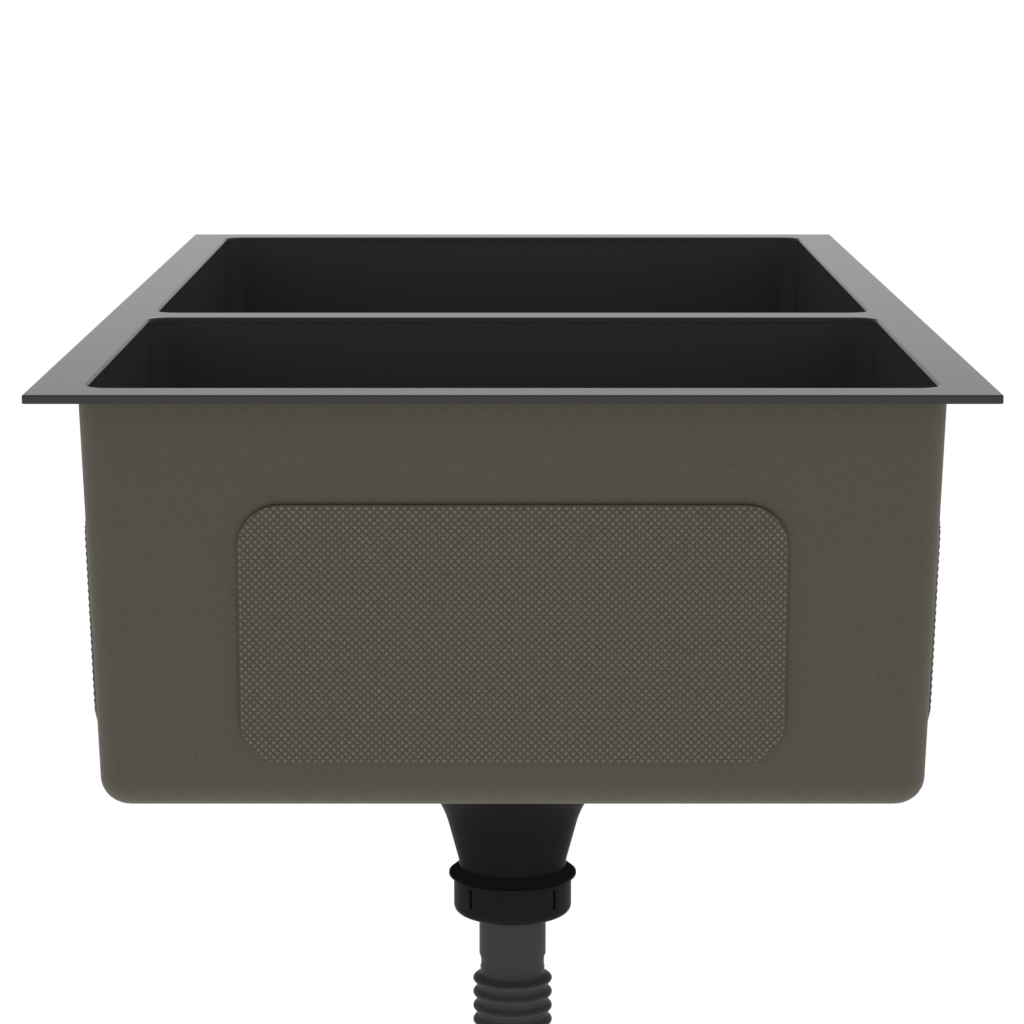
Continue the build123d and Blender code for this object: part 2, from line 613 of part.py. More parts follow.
# ------------------------------------------------------------------------------------------------
# All nodes
# ------------------------------------------------------------------------------------------------
nodes = {"deck_plate": deck_plate(), "branch_tee": branch_tee()}
for name, bowl in BOWLS.items():
    drain = Pos(0, bowl["y"], 0)
    nodes[f"{name}_bowl"] = bowl_tray(bowl)
    nodes[f"{name}_bowl_coat"] = bowl_coat(bowl)
    nodes[f"{name}_end_pad"] = end_pad(bowl)
    nodes[f"{name}_left_pad"] = side_pad(bowl, -1)
    nodes[f"{name}_right_pad"] = side_pad(bowl, 1)
    nodes[f"{name}_strainer_cup"] = drain * strainer_cup()
    nodes[f"{name}_upper_gasket"] = drain * upper_gasket()
    nodes[f"{name}_lower_gasket"] = drain * lower_gasket()
    nodes[f"{name}_centre_screw"] = drain * centre_screw()
    nodes[f"{name}_basket"] = drain * basket()
    nodes[f"{name}_basket_knob"] = drain * basket_knob()
    nodes[f"{name}_basket_seal"] = drain * basket_seal()
    nodes[f"{name}_waste_body"] = drain * waste_body()
    nodes[f"{name}_waste_ring"] = drain * waste_ring()
    nodes[f"{name}_hose"] = corrugated_hose(bowl)
    for end, joint in (("waste", drain_joint(bowl)), ("tee", tee_joint(bowl))):
        nodes[f"{name}_{end}_nut"] = joint * coupling_nut()
        nodes[f"{name}_{end}_washer"] = joint * coupling_washer()

os.makedirs("parts", exist_ok=True)
for node, shape in nodes.items():
    export_step(shape, f"parts/{node}.step")
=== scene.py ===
from math import acos, atan2, ceil, cos, hypot, pi, radians, sin, tan

import bmesh
import bpy
from mathutils import Matrix, Vector


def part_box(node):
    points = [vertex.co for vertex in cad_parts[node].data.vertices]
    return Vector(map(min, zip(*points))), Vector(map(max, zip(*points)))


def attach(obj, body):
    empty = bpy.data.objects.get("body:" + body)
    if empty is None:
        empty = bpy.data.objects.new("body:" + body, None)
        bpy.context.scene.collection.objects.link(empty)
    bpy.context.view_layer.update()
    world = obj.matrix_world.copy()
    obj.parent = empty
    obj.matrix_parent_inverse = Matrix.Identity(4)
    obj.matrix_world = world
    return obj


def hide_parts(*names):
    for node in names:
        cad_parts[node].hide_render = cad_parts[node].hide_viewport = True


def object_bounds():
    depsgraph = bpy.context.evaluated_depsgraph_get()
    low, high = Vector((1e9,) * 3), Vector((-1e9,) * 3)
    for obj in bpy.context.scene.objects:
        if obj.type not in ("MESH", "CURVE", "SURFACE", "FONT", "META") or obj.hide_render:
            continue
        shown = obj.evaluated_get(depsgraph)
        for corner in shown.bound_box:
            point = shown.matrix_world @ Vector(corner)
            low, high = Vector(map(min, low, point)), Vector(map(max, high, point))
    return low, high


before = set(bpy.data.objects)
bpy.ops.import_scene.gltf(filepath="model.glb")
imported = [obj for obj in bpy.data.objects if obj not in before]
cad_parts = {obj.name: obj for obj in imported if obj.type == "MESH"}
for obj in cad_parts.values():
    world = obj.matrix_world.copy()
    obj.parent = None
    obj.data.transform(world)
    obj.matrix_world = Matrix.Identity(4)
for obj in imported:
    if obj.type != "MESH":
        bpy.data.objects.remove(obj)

cad_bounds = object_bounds()

# ------------------------------------------------------------
# Studio: a white floor well below the outlet, a surround that is white low down and greyer above,
# and one wide soft light overhead. The camera stands off the small bowl's end, a little above the
# rim, as in the photograph.
# ------------------------------------------------------------
SENSOR = 36.0
FOCAL_IN_FRAMES = 3202.7 / 1024
CAMERA_PITCH = radians(10.10)
CAMERA_BACK = 1.4197
CAMERA_UP = 0.19985
CAMERA_SIDE = -0.0003
FLOOR_GAP = 0.03
FLOOR_SIZE = 8.0
FLOOR_GREY = 0.3
FLOOR_GLOW = 0.92
SOFTBOX_SIZE = (1.6, 2.2)
SOFTBOX_PLACE = (0, 0.1, 1.7)
SOFTBOX_POWER = 1.0
SURROUND_GREYS = ((0.0, 1.0), (0.004, 0.93), (0.16, 0.93), (0.30, 0.55), (0.5, 0.36), (0.999, 0.15))


def finish_material(name, base, roughness, metallic=0.0, specular=0.5):
    """A material whose even values sit on the Principled shader's own sockets."""
    material = bpy.data.materials.new(name)
    material.use_nodes = True
    shader = material.node_tree.nodes["Principled BSDF"]
    shader.inputs["Base Color"].default_value = (*base, 1)
    shader.inputs["Roughness"].default_value = roughness
    shader.inputs["Metallic"].default_value = metallic
    shader.inputs["Specular IOR Level"].default_value = specular
    return material


def add_object(name, data):
    thing = bpy.data.objects.new(name, data)
    bpy.context.scene.collection.objects.link(thing)
    return thing


deck_low, deck_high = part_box("deck_plate")
camera_data = bpy.data.cameras.new("photo_camera")
camera_data.sensor_width = SENSOR
camera_data.lens = FOCAL_IN_FRAMES * SENSOR
camera = add_object("photo_camera", camera_data)
camera.location = (CAMERA_SIDE, deck_low.y - CAMERA_BACK, deck_high.z + CAMERA_UP)
camera.rotation_euler = (pi / 2 - CAMERA_PITCH, 0, 0)
bpy.context.scene.camera = camera
bpy.context.scene.view_settings.view_transform = "Standard"

surround = bpy.data.worlds.new("studio_surround")
surround.use_nodes = True
nodes, links = surround.node_tree.nodes, surround.node_tree.links
height = nodes.new("ShaderNodeSeparateXYZ")
links.new(nodes.new("ShaderNodeTexCoord").outputs["Generated"], height.inputs["Vector"])
fade = nodes.new("ShaderNodeValToRGB")
stops = fade.color_ramp.elements
stops.remove(stops[-1])
for place, grey in SURROUND_GREYS:
    stop = stops.new(place) if place else stops[0]
    stop.color = (grey, grey, grey, 1)
links.new(height.outputs["Z"], fade.inputs["Fac"])
links.new(fade.outputs["Color"], nodes["Background"].inputs["Color"])
bpy.context.scene.world = surround

softbox = bpy.data.lights.new("overhead_softbox", "AREA")
softbox.shape = "RECTANGLE"
softbox.size, softbox.size_y = SOFTBOX_SIZE
softbox.energy = SOFTBOX_POWER
add_object("overhead_softbox", softbox).location = SOFTBOX_PLACE

floor_z = cad_bounds[0][2] - FLOOR_GAP
floor_mesh = bpy.data.meshes.new("studio_floor")
floor_mesh.from_pydata(
    [(x * FLOOR_SIZE / 2, y * FLOOR_SIZE / 2, floor_z) for x, y in ((-1, -1), (1, -1), (1, 1), (-1, 1))],
    [],
    [(0, 1, 2, 3)],
)
floor_paint = finish_material("white_floor_paint", (FLOOR_GREY,) * 3, 0.8, specular=0)
floor_shader = floor_paint.node_tree.nodes["Principled BSDF"]
floor_shader.inputs["Emission Color"].default_value = (1, 1, 1, 1)
floor_shader.inputs["Emission Strength"].default_value = FLOOR_GLOW
floor_mesh.materials.append(floor_paint)
studio_floor = add_object("studio_floor", floor_mesh)

# ------------------------------------------------------------
# Deck plate: one thick steel plate with two openings, their top edges rolled over, satin coated.
# Under each opening's edge is a shallow seat that the bowl is welded into. Sizes in millimetres.
# ------------------------------------------------------------
MM = 0.001
DECK_WIDTH = 440.0
DECK_LENGTH = 800.0
DECK_Y = 87.5
DECK_THICKNESS = 4.0
DECK_CORNER = 2.0
DECK_EDGE = 0.8
OPENING_WIDTH = 390.0
OPENING_CORNER = 11.0
OPENING_EDGE = 2.5
SEAT_WIDTH = 4.8
SEAT_DEPTH = 0.6
RIM_STRIP = 1.6  # flat modelled with an edge, before the large flat patch starts
SEAT_STRIP = 1.0
OPENING_STRIP = 4.5
SHARP_EDGE = 0.2
FLAT_KEEP = 0.5
LARGEST_REACH = 0.48  # share of a side that an arc may take
CORNER_STEPS = 8
ARC_STEP = radians(12)
SAME_POINT = 0.0005
NOISE_SPREAD = (0.3, 0.7)
COLOUR_SPREAD = (0.35, 0.65)
# Each bowl's opening: its length, its middle, and which way along Y its end wall faces.
BOWLS = {
    "near": {"length": 275.0, "y": -150.0, "side": -1},
    "far": {"length": 450.0, "y": 237.5, "side": 1},
}


def softened(points, closed=False):
    """A section of (across, height, corner radius) points with an arc at each corner, as large as
    its sides have room for. A short flat beside each arc keeps long flats flat in smooth shading."""
    outline = []
    for i, (across, height, *bend) in enumerate(points):
        here = Vector((across, height))
        if not closed and i in (0, len(points) - 1):
            outline.append(here)
            continue
        before = Vector(points[i - 1][:2]) - here
        after = Vector(points[(i + 1) % len(points)][:2]) - here
        turn = pi - before.angle(after)
        half = tan(turn / 2)
        room = LARGEST_REACH * min(before.length, after.length)
        reach = min((bend[0] if bend else SHARP_EDGE) * half, room)
        middle = (before.normalized() + after.normalized()).normalized()
        centre = here + middle * (reach / half / cos(turn / 2))
        start = here + before.normalized() * reach - centre
        sense = 1 if before.cross(after) < 0 else -1
        keep = min(FLAT_KEEP, reach)
        if before.length > 2 * (reach + keep):
            outline.append(here + before.normalized() * (reach + keep))
        steps = max(3, ceil(turn / ARC_STEP))
        for k in range(steps + 1):
            outline.append(centre + Matrix.Rotation(sense * turn * k / steps, 2) @ start)
        if after.length > 2 * (reach + keep):
            outline.append(here + after.normalized() * (reach + keep))
    return outline


def rounded_loop(half_x, half_y, corner, z, centre_y=0.0):
    """Points of a rounded rectangle, the same number for every size."""
    corner = max(corner, SHARP_EDGE)
    loop = []
    for quarter, (sign_x, sign_y) in enumerate(((1, 1), (-1, 1), (-1, -1), (1, -1))):
        middle = Vector((sign_x * (half_x - corner), centre_y + sign_y * (half_y - corner), z))
        arc = []
        for k in range(CORNER_STEPS + 1):
            angle = (quarter + k / CORNER_STEPS) * pi / 2
            arc.append(middle + corner * Vector((cos(angle), sin(angle), 0)))
        start, end = quarter * pi / 2, (quarter + 1) * pi / 2
        loop.append(arc[0] + FLAT_KEEP * Vector((sin(start), -cos(start), 0)))
        loop += arc
        loop.append(arc[-1] + FLAT_KEEP * Vector((-sin(end), cos(end), 0)))
    return loop


def add_loop(shape, points):
    return [shape.verts.new(Vector(point) * MM) for point in points]


def add_skin(shape, loops):
    """Quads between loops of equal length."""
    for a, b in zip(loops, loops[1:]):
        for k in range(len(a)):
            n = (k + 1) % len(a)
            shape.faces.new((a[k], a[n], b[n], b[k]))


def add_flat(shape, *loops):
    """A flat patch inside the first loop and outside the others."""
    edges = []
    for loop in loops:
        for a, b in zip(loop, loop[1:] + loop[:1]):
            edges.append(shape.edges.get((a, b)) or shape.edges.new((a, b)))
    bmesh.ops.triangle_fill(shape, use_beauty=True, edges=edges)


def add_rings(shape, section, half_x, half_y, corner, centre_y=0.0):
    """Skin round a rounded rectangle; the section's points are (outwards, height)."""
    rings = [
        add_loop(shape, rounded_loop(half_x + d, half_y + d, corner + d, z, centre_y)) for d, z in section
    ]
    add_skin(shape, rings)
    return rings


def new_piece(name, shape, material, place=None, sharp_from=None, flat=False):
    """The finished mesh as an object at the origin, faces outwards and shaded smooth unless flat."""
    bmesh.ops.remove_doubles(shape, verts=shape.verts, dist=SAME_POINT * MM)
    if place:
        bmesh.ops.transform(shape, matrix=place, verts=shape.verts)
    bmesh.ops.recalc_face_normals(shape, faces=shape.faces)
    mesh = bpy.data.meshes.new(name)
    shape.to_mesh(mesh)
    shape.free()
    if not flat:
        mesh.shade_smooth()
    if sharp_from:
        mesh.set_sharp_from_angle(angle=sharp_from)
    mesh.materials.clear()
    mesh.materials.append(material)
    return add_object(name, mesh)


def fit(piece, node, body="root"):
    """The piece stands for a CAD node, whose part is hidden, and rides on its body."""
    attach(piece, body)
    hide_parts(node)


def add_grain(material, size, depth, roughness=None, colours=None, detail=3.0, stretch=(1, 1, 1)):
    """Fine unevenness of a real surface: bump, and where given a range of roughness or of colour."""
    nodes, links = material.node_tree.nodes, material.node_tree.links
    shader = nodes["Principled BSDF"]
    place = nodes.new("ShaderNodeTexCoord")
    mapping = nodes.new("ShaderNodeMapping")
    mapping.inputs["Scale"].default_value = stretch
    noise = nodes.new("ShaderNodeTexNoise")
    noise.inputs["Scale"].default_value = 1 / (size * MM)
    noise.inputs["Detail"].default_value = detail
    links.new(place.outputs["Object"], mapping.inputs["Vector"])
    links.new(mapping.outputs["Vector"], noise.inputs["Vector"])
    bump = nodes.new("ShaderNodeBump")
    bump.inputs["Distance"].default_value = depth * MM
    links.new(noise.outputs["Fac"], bump.inputs["Height"])
    links.new(bump.outputs["Normal"], shader.inputs["Normal"])
    if roughness:
        spread = nodes.new("ShaderNodeMapRange")
        for side, seen, given in zip(("Min", "Max"), NOISE_SPREAD, roughness):
            spread.inputs[f"From {side}"].default_value = seen
            spread.inputs[f"To {side}"].default_value = given
        links.new(noise.outputs["Fac"], spread.inputs["Value"])
        links.new(spread.outputs["Result"], shader.inputs["Roughness"])
    if colours:
        ramp = nodes.new("ShaderNodeValToRGB")
        for stop, position, colour in zip(ramp.color_ramp.elements, COLOUR_SPREAD, colours):
            stop.position = position
            stop.color = (*colour, 1)
        links.new(noise.outputs["Fac"], ramp.inputs["Fac"])
        links.new(ramp.outputs["Color"], shader.inputs["Base Color"])


deck_coating = finish_material("satin_black_coating", (0.058, 0.058, 0.059), 0.18, specular=0.05)
add_grain(deck_coating, size=0.35, depth=0.004, roughness=(0.16, 0.20))

shape = bmesh.new()
outer = [(-RIM_STRIP, 0), (0, 0), (0, DECK_THICKNESS, DECK_EDGE), (-RIM_STRIP, DECK_THICKNESS)]
rings = add_rings(shape, softened(outer), DECK_WIDTH / 2, DECK_LENGTH / 2, DECK_CORNER, DECK_Y)
under_loops, top_loops = [rings[0]], [rings[-1]]
inner = [
    (SEAT_WIDTH + SEAT_STRIP, 0),
    (SEAT_WIDTH, 0),
    (SEAT_WIDTH, SEAT_DEPTH),
    (0, SEAT_DEPTH),
    (0, DECK_THICKNESS, OPENING_EDGE),
    (OPENING_STRIP, DECK_THICKNESS),
]
for bowl in BOWLS.values():
    half_x, half_y = OPENING_WIDTH / 2, bowl["length"] / 2
    rings = add_rings(shape, softened(inner), half_x, half_y, OPENING_CORNER, bowl["y"])
    under_loops.append(rings[0])
    top_loops.append(rings[-1])
add_flat(shape, *under_loops)
add_flat(shape, *top_loops)
fit(new_piece("deck", shape, deck_coating), "deck_plate")

# ------------------------------------------------------------
# Bowls: drafted trays of steel sheet in the same kind of coating, welded into the deck's seats. Their
# coating is painted a little lighter than the deck's, as painted light.
# The floor has a pressed dish round the drain hole and four shallow creases to the corners.
# ------------------------------------------------------------
SHEET = 1.8
SLOPE = tan(radians(1.77))
FLOOR_TOP = -190.7
FLOOR_EDGE = 10.0
DISH_TOP = -194.2
DISH_RADIUS = 57.5
DISH_BORDER = 5.0
DISH_BEND = 1.2
DRAIN_HOLE = 45.0
CREASE_WIDTH = 5.0
CREASE_DEPTH = 0.7
CREASE_END_MARGIN = 24.0
CREASE_SECTION = ((1.0, 0.0), (0.9, 0.03), (0.55, 0.4), (0.22, 0.88), (0.05, 1.0))
FLAT_WIDTH = 12.0
ROUND_STEPS = 96
SHEET_SHARP = radians(50)


def tray_loops(shape, bowl, offset):
    """One side of a drafted tray, from its top edge down the wall and a little way along the floor.
    The offset is its distance outwards from the bowl's inside."""
    bottom, edge = FLOOR_TOP - offset, FLOOR_EDGE + offset
    foot = offset - (SEAT_DEPTH - bottom) * SLOPE
    section = [(offset, SEAT_DEPTH), (foot, bottom, edge), (foot - edge - FLAT_WIDTH, bottom)]
    loops = []
    for across, z in softened(section):
        wall = offset - (SEAT_DEPTH - z) * SLOPE
        corner = OPENING_CORNER + offset - (wall - across)
        half_x, half_y = OPENING_WIDTH / 2 + across, bowl["length"] / 2 + across
        loops.append(add_loop(shape, rounded_loop(half_x, half_y, corner, z, bowl["y"])))
    return loops


def add_tray(shape, bowl, inner, outer):
    """Both sides of a tray joined at the top; gives the last loop of each on the floor."""
    inside, outside = (tray_loops(shape, bowl, offset) for offset in (inner, outer))
    add_skin(shape, inside[::-1] + outside)
    return inside[-1], outside[-1]


def circle_loop(radius, z, centre_y, steps=ROUND_STEPS):
    turns = [2 * pi * k / steps for k in range(steps)]
    return [(radius * cos(a), centre_y + radius * sin(a), z) for a in turns]


def add_circles(shape, section, centre_y):
    rings = [add_loop(shape, circle_loop(radius, z, centre_y)) for radius, z in section]
    add_skin(shape, rings)
    return rings


def crease_loops(shape, bowl, direction, start, end):
    """A shallow trough with round ends along one diagonal of the floor."""
    along = Vector((cos(direction), sin(direction), 0))
    loops = []
    for width_share, depth_share in CREASE_SECTION:
        half = CREASE_WIDTH / 2 * width_share
        points = []
        for end_point, first in ((end, -pi / 2), (start, pi / 2)):
            middle = along * end_point
            for k in range(CORNER_STEPS + 1):
                angle = direction + first + pi * k / CORNER_STEPS
                points.append(middle + half * Vector((cos(angle), sin(angle), 0)))
        drop = Vector((0, bowl["y"], FLOOR_TOP - CREASE_DEPTH * depth_share))
        loops.append(add_loop(shape, [point + drop for point in points]))
    return loops


# The bowls' coating is the deck's coating painted a little lighter, as painted light on the bowls' shaded
# insides.
bowl_coating_painted_light = finish_material("satin_black_bowl_painted_light", (0.068, 0.068, 0.069), 0.18, specular=0.05)
add_grain(bowl_coating_painted_light, size=0.35, depth=0.004, roughness=(0.16, 0.20))
for end, bowl in BOWLS.items():
    shape = bmesh.new()
    floor_upper, floor_lower = add_tray(shape, bowl, 0, SHEET)
    dish = softened([
        (DISH_RADIUS + DISH_BORDER, FLOOR_TOP),
        (DISH_RADIUS, FLOOR_TOP, DISH_BEND),
        (DISH_RADIUS, DISH_TOP, DISH_BEND),
        (DRAIN_HOLE, DISH_TOP),
        (DRAIN_HOLE, DISH_TOP - SHEET),
        (DISH_RADIUS + SHEET, DISH_TOP - SHEET, DISH_BEND),
        (DISH_RADIUS + SHEET, FLOOR_TOP - SHEET),
        (DISH_RADIUS + DISH_BORDER, FLOOR_TOP - SHEET),
    ])
    rings = add_circles(shape, dish, bowl["y"])
    foot = (SEAT_DEPTH - FLOOR_TOP) * SLOPE
    corner_x, corner_y = OPENING_WIDTH / 2 - foot, bowl["length"] / 2 - foot
    diagonal = atan2(corner_y, corner_x)
    crease_end = hypot(corner_x, corner_y) - CREASE_END_MARGIN
    holes = []
    for direction in (diagonal, pi - diagonal, pi + diagonal, -diagonal):
        crease = crease_loops(shape, bowl, direction, DISH_RADIUS + 2 * DISH_BORDER, crease_end)
        add_skin(shape, crease)
        add_flat(shape, crease[-1])
        holes.append(crease[0])
    add_flat(shape, floor_upper, rings[0], *holes)
    add_flat(shape, floor_lower, rings[-1])
    tray = new_piece(f"{end}_bowl_tray", shape, bowl_coating_painted_light, sharp_from=SHEET_SHARP)
    fit(tray, f"{end}_bowl")

# ------------------------------------------------------------
# Undercoat: a thick grey-brown coat sprayed over the outside of each bowl against noise and
# condensation. It covers the walls and the floor up to the drain's dish and dries finely stippled.
# ------------------------------------------------------------
COAT = 2.5
COAT_EDGE = 1.0
COAT_HIDDEN_STRIP = 2.0
COAT_STRIP = 3.0

undercoat = finish_material("sprayed_undercoat", (0.090, 0.079, 0.057), 0.6, specular=0.3)
add_grain(
    undercoat, size=1.1, depth=0.10, roughness=(0.5, 0.62),
    colours=((0.081, 0.071, 0.051), (0.099, 0.087, 0.063)), detail=4.0,
)
for end, bowl in BOWLS.items():
    shape = bmesh.new()
    coat_inside, coat_outside = add_tray(shape, bowl, SHEET, SHEET + COAT)
    under = FLOOR_TOP - SHEET
    coat_edge = DISH_RADIUS + DISH_BORDER
    edge = softened([
        (coat_edge + COAT_HIDDEN_STRIP, under),
        (coat_edge, under),
        (coat_edge, under - COAT, COAT_EDGE),
        (coat_edge + COAT_STRIP, under - COAT),
    ])
    rings = add_circles(shape, edge, bowl["y"])
    add_flat(shape, coat_inside, rings[0])
    add_flat(shape, coat_outside, rings[-1])
    skin = new_piece(f"{end}_undercoat", shape, undercoat, sharp_from=SHEET_SHARP)
    fit(skin, f"{end}_bowl_coat")

# ------------------------------------------------------------
# Sound pads: embossed bitumen mats stuck on the middle of the end and side walls. The embossing is
# a lattice of small raised diamonds, which the mat's rounded outline cuts through.
# ------------------------------------------------------------
END_PAD_WIDTH = 253.0
END_PAD_HEIGHT = 122.8
END_PAD_DROP = 49.2
END_PAD_CORNER = 20.0
SIDE_PAD_MARGIN = 24.0
SIDE_PAD_HEIGHT = 106.7
SIDE_PAD_DROP = 56.0
SIDE_PAD_CORNER = 16.0
PAD_BASE = 2.0
PAD_BASE_EDGE = 1.5
PAD_TOP = 2.5
DIAMOND_PITCH = 3.52
DIAMOND_FOOT = 1.3
DIAMOND_CREST = 0.8
PAD_STRIP = 1.5
DIAMOND_SINK = 0.1
DIAMOND_MARGIN = 0.35


class Tree:
    """A Geometry Nodes tree that is written down one node at a time."""

    def __init__(self, name, **inputs):
        self.group = bpy.data.node_groups.new(name, "GeometryNodeTree")
        for label, kind in (("geometry", "Geometry"), *inputs.items(), ("material", "Material")):
            self.group.interface.new_socket(label, in_out="INPUT", socket_type=f"NodeSocket{kind}")
        self.group.interface.new_socket("geometry", in_out="OUTPUT", socket_type="NodeSocketGeometry")
        self.given = self.group.nodes.new("NodeGroupInput").outputs

    def add(self, kind, *values, out=0, **settings):
        """Adds a node, feeds its open inputs in order (None leaves one alone) and gives an output."""
        node = self.group.nodes.new(kind)
        for key, value in settings.items():
            setattr(node, key, value)
        for socket, value in zip([s for s in node.inputs if s.enabled], values):
            if isinstance(value, bpy.types.NodeSocket):
                self.group.links.new(value, socket)
            elif value is not None:
                socket.default_value = value
        return node.outputs[out]

    def geo(self, kind, *values, **settings):
        return self.add(f"GeometryNode{kind}", *values, **settings)

    def xyz(self, *values):
        return self.add("ShaderNodeCombineXYZ", *values)

    def math(self, operation, *values):
        return self.add("ShaderNodeMath", *values, operation=operation)

    def vector(self, operation, *values, out=0):
        return self.add("ShaderNodeVectorMath", *values, operation=operation, out=out)

    def join(self, *parts):
        joined = self.group.nodes.new("GeometryNodeJoinGeometry")
        for part in parts:
            self.group.links.new(part, joined.inputs[0])
        return joined.outputs[0]

    def end(self, geometry):
        realized = self.geo("RealizeInstances", geometry)
        painted = self.geo("SetMaterial", realized, None, self.given["material"])
        self.group.links.new(painted, self.group.nodes.new("NodeGroupOutput").inputs[0])

    def grow(self, host, **values):
        """Runs the tree on a host object and gives the result as a plain mesh; the host goes."""
        modifier = host.modifiers.new(self.group.name, "NODES")
        modifier.node_group = self.group
        for item in self.group.interface.items_tree:
            if item.in_out == "INPUT" and item.name in values:
                modifier[item.identifier] = values[item.name]
        evaluated = host.evaluated_get(bpy.context.evaluated_depsgraph_get())
        mesh = bpy.data.meshes.new_from_object(evaluated)
        bpy.data.objects.remove(host)
        grown = bmesh.new()
        grown.from_mesh(mesh)
        return grown


def host_object(shape):
    mesh = bpy.data.meshes.new("host")
    shape.to_mesh(mesh)
    shape.free()
    return add_object("host", mesh)


def wall_frame(bowl, across, along, z):
    """A place at height z on the coated wall that faces (across, along), with local Y up the wall."""
    half = (OPENING_WIDTH if across else bowl["length"]) / 2 + SHEET + COAT + (z - SEAT_DEPTH) * SLOPE
    tilt = atan2(SLOPE, 1)
    out = Vector((across * cos(tilt), along * cos(tilt), -sin(tilt)))
    side = Vector((-along, across, 0))
    turned = Matrix((side, out.cross(side), out)).transposed().to_4x4()
    place = Vector((across * half, bowl["y"] + along * half, z))
    return Matrix.Translation(place * MM) @ turned


embossing = Tree(
    "embossed_diamonds", width="Float", height="Float", corner="Float", pitch="Float", foot="Float",
    crest="Float", low="Float", high="Float", margin="Float",
)
g = embossing.given
lattices = []
for shift in (0, 0.5):
    sides = []
    for side in ("width", "height"):
        pair = embossing.math("MULTIPLY", g["pitch"], 2)
        steps = embossing.math("CEIL", embossing.math("DIVIDE", g[side], pair))
        count = embossing.math("ADD", embossing.math("MULTIPLY", steps, 2), 1)
        sides.append((embossing.math("MULTIPLY", embossing.math("SUBTRACT", count, 1), g["pitch"]), count))
    (size_x, count_x), (size_y, count_y) = sides
    grid = embossing.geo("MeshGrid", size_x, size_y, count_x, count_y)
    move = embossing.math("MULTIPLY", g["pitch"], shift)
    offset = embossing.xyz(move, move, 0)
    lattices.append(embossing.geo("Transform", grid, offset))
halves = [embossing.math("DIVIDE", g[side], 2) for side in ("width", "height")]
corner_middle = embossing.xyz(*[embossing.math("SUBTRACT", half, g["corner"]) for half in halves], 0)
flat_place = embossing.vector("MULTIPLY", embossing.geo("InputPosition"), (1, 1, 0))
past_middle = embossing.vector("SUBTRACT", embossing.vector("ABSOLUTE", flat_place), corner_middle)
beyond = embossing.vector("MAXIMUM", past_middle, (0, 0, 0))
past_outline = embossing.math("SUBTRACT", embossing.vector("LENGTH", beyond, out="Value"), g["corner"])
outside = embossing.math("GREATER_THAN", past_outline, 0.0)
kept = embossing.geo("DeleteGeometry", embossing.join(*lattices), outside)
rise = embossing.math("SUBTRACT", g["high"], g["low"])
diamond = embossing.geo("MeshCone", 4, 1, 1, g["crest"], g["foot"], rise)
lift = embossing.xyz(0, 0, g["low"])
raised = embossing.geo("Transform", diamond, lift)
copies = embossing.geo("InstanceOnPoints", kept, None, raised)
diamonds = embossing.geo("RealizeInstances", copies)
overhang = embossing.math("MAXIMUM", embossing.math("ADD", past_outline, g["margin"]), 0)
direction = embossing.vector("NORMALIZE", beyond)
outwards = embossing.vector("MULTIPLY", direction, embossing.vector("SIGN", flat_place))
pull = embossing.vector("SCALE", outwards)
embossing.group.links.new(embossing.math("MULTIPLY", overhang, -1), pull.node.inputs["Scale"])
embossing.end(embossing.geo("SetPosition", diamonds, None, None, pull))

pad_mat = finish_material("bitumen_pad", (0.085, 0.074, 0.055), 0.6, specular=0.3)
add_grain(pad_mat, size=0.5, depth=0.02, colours=((0.078, 0.068, 0.050), (0.092, 0.080, 0.059)))
# The diamond crests are the mat's bitumen painted lighter, as painted highlight on the raised diamonds;
# the grain adds random tone on top.
diamond_highlight_mat = finish_material("bitumen_pad_crests_painted_highlight", (0.160, 0.145, 0.115), 0.5, specular=0.35)
add_grain(
    diamond_highlight_mat, size=2.6, depth=0.01, roughness=(0.44, 0.58),
    colours=((0.140, 0.126, 0.099), (0.180, 0.164, 0.131)), detail=2.0,
)
for end, bowl in BOWLS.items():
    for side, across, along in (("end", 0, bowl["side"]), ("left", -1, 0), ("right", 1, 0)):
        if across:
            width, height = bowl["length"] - 2 * SIDE_PAD_MARGIN, SIDE_PAD_HEIGHT
            drop, corner = SIDE_PAD_DROP, SIDE_PAD_CORNER
        else:
            width, height, drop, corner = END_PAD_WIDTH, END_PAD_HEIGHT, END_PAD_DROP, END_PAD_CORNER
        place = wall_frame(bowl, across, along, -drop - height / 2)
        section = [(-PAD_STRIP, 0), (0, 0), (0, PAD_BASE, PAD_BASE_EDGE), (-PAD_STRIP, PAD_BASE)]
        shape = bmesh.new()
        rings = add_rings(shape, softened(section), width / 2, height / 2, corner)
        add_flat(shape, rings[0])
        add_flat(shape, rings[-1])
        node = f"{end}_{side}_pad"
        fit(new_piece(f"{node}_mat", shape, pad_mat, place=place), node)
        shape = embossing.grow(
            host_object(bmesh.new()),
            width=width * MM, height=height * MM, corner=corner * MM, pitch=DIAMOND_PITCH * MM,
            foot=DIAMOND_FOOT * MM, crest=DIAMOND_CREST * MM, low=(PAD_BASE - DIAMOND_SINK) * MM,
            high=PAD_TOP * MM, margin=DIAMOND_MARGIN * MM, material=diamond_highlight_mat,
        )
        crests = new_piece(f"{node}_diamonds", shape, diamond_highlight_mat, place=place, flat=True)
        fit(crests, node)

# ------------------------------------------------------------
# Gaskets: a flat rubber ring above each bowl's floor under the strainer's flange, and a thicker one
# below it on the waste body's flange. The screw squeezes both.
# ------------------------------------------------------------
DISH_UNDERSIDE = DISH_TOP - SHEET
FLANGE_RADIUS = 56.0
RUBBER_EDGE = 0.3
UPPER_GASKET = 1.5
LOWER_GASKET = 2.5
GASKET_SETBACK = 2.0
FUNNEL_TOP = DISH_UNDERSIDE - LOWER_GASKET
FUNNEL_FLANGE = 55.0
FUNNEL_MOUTH = 46.0


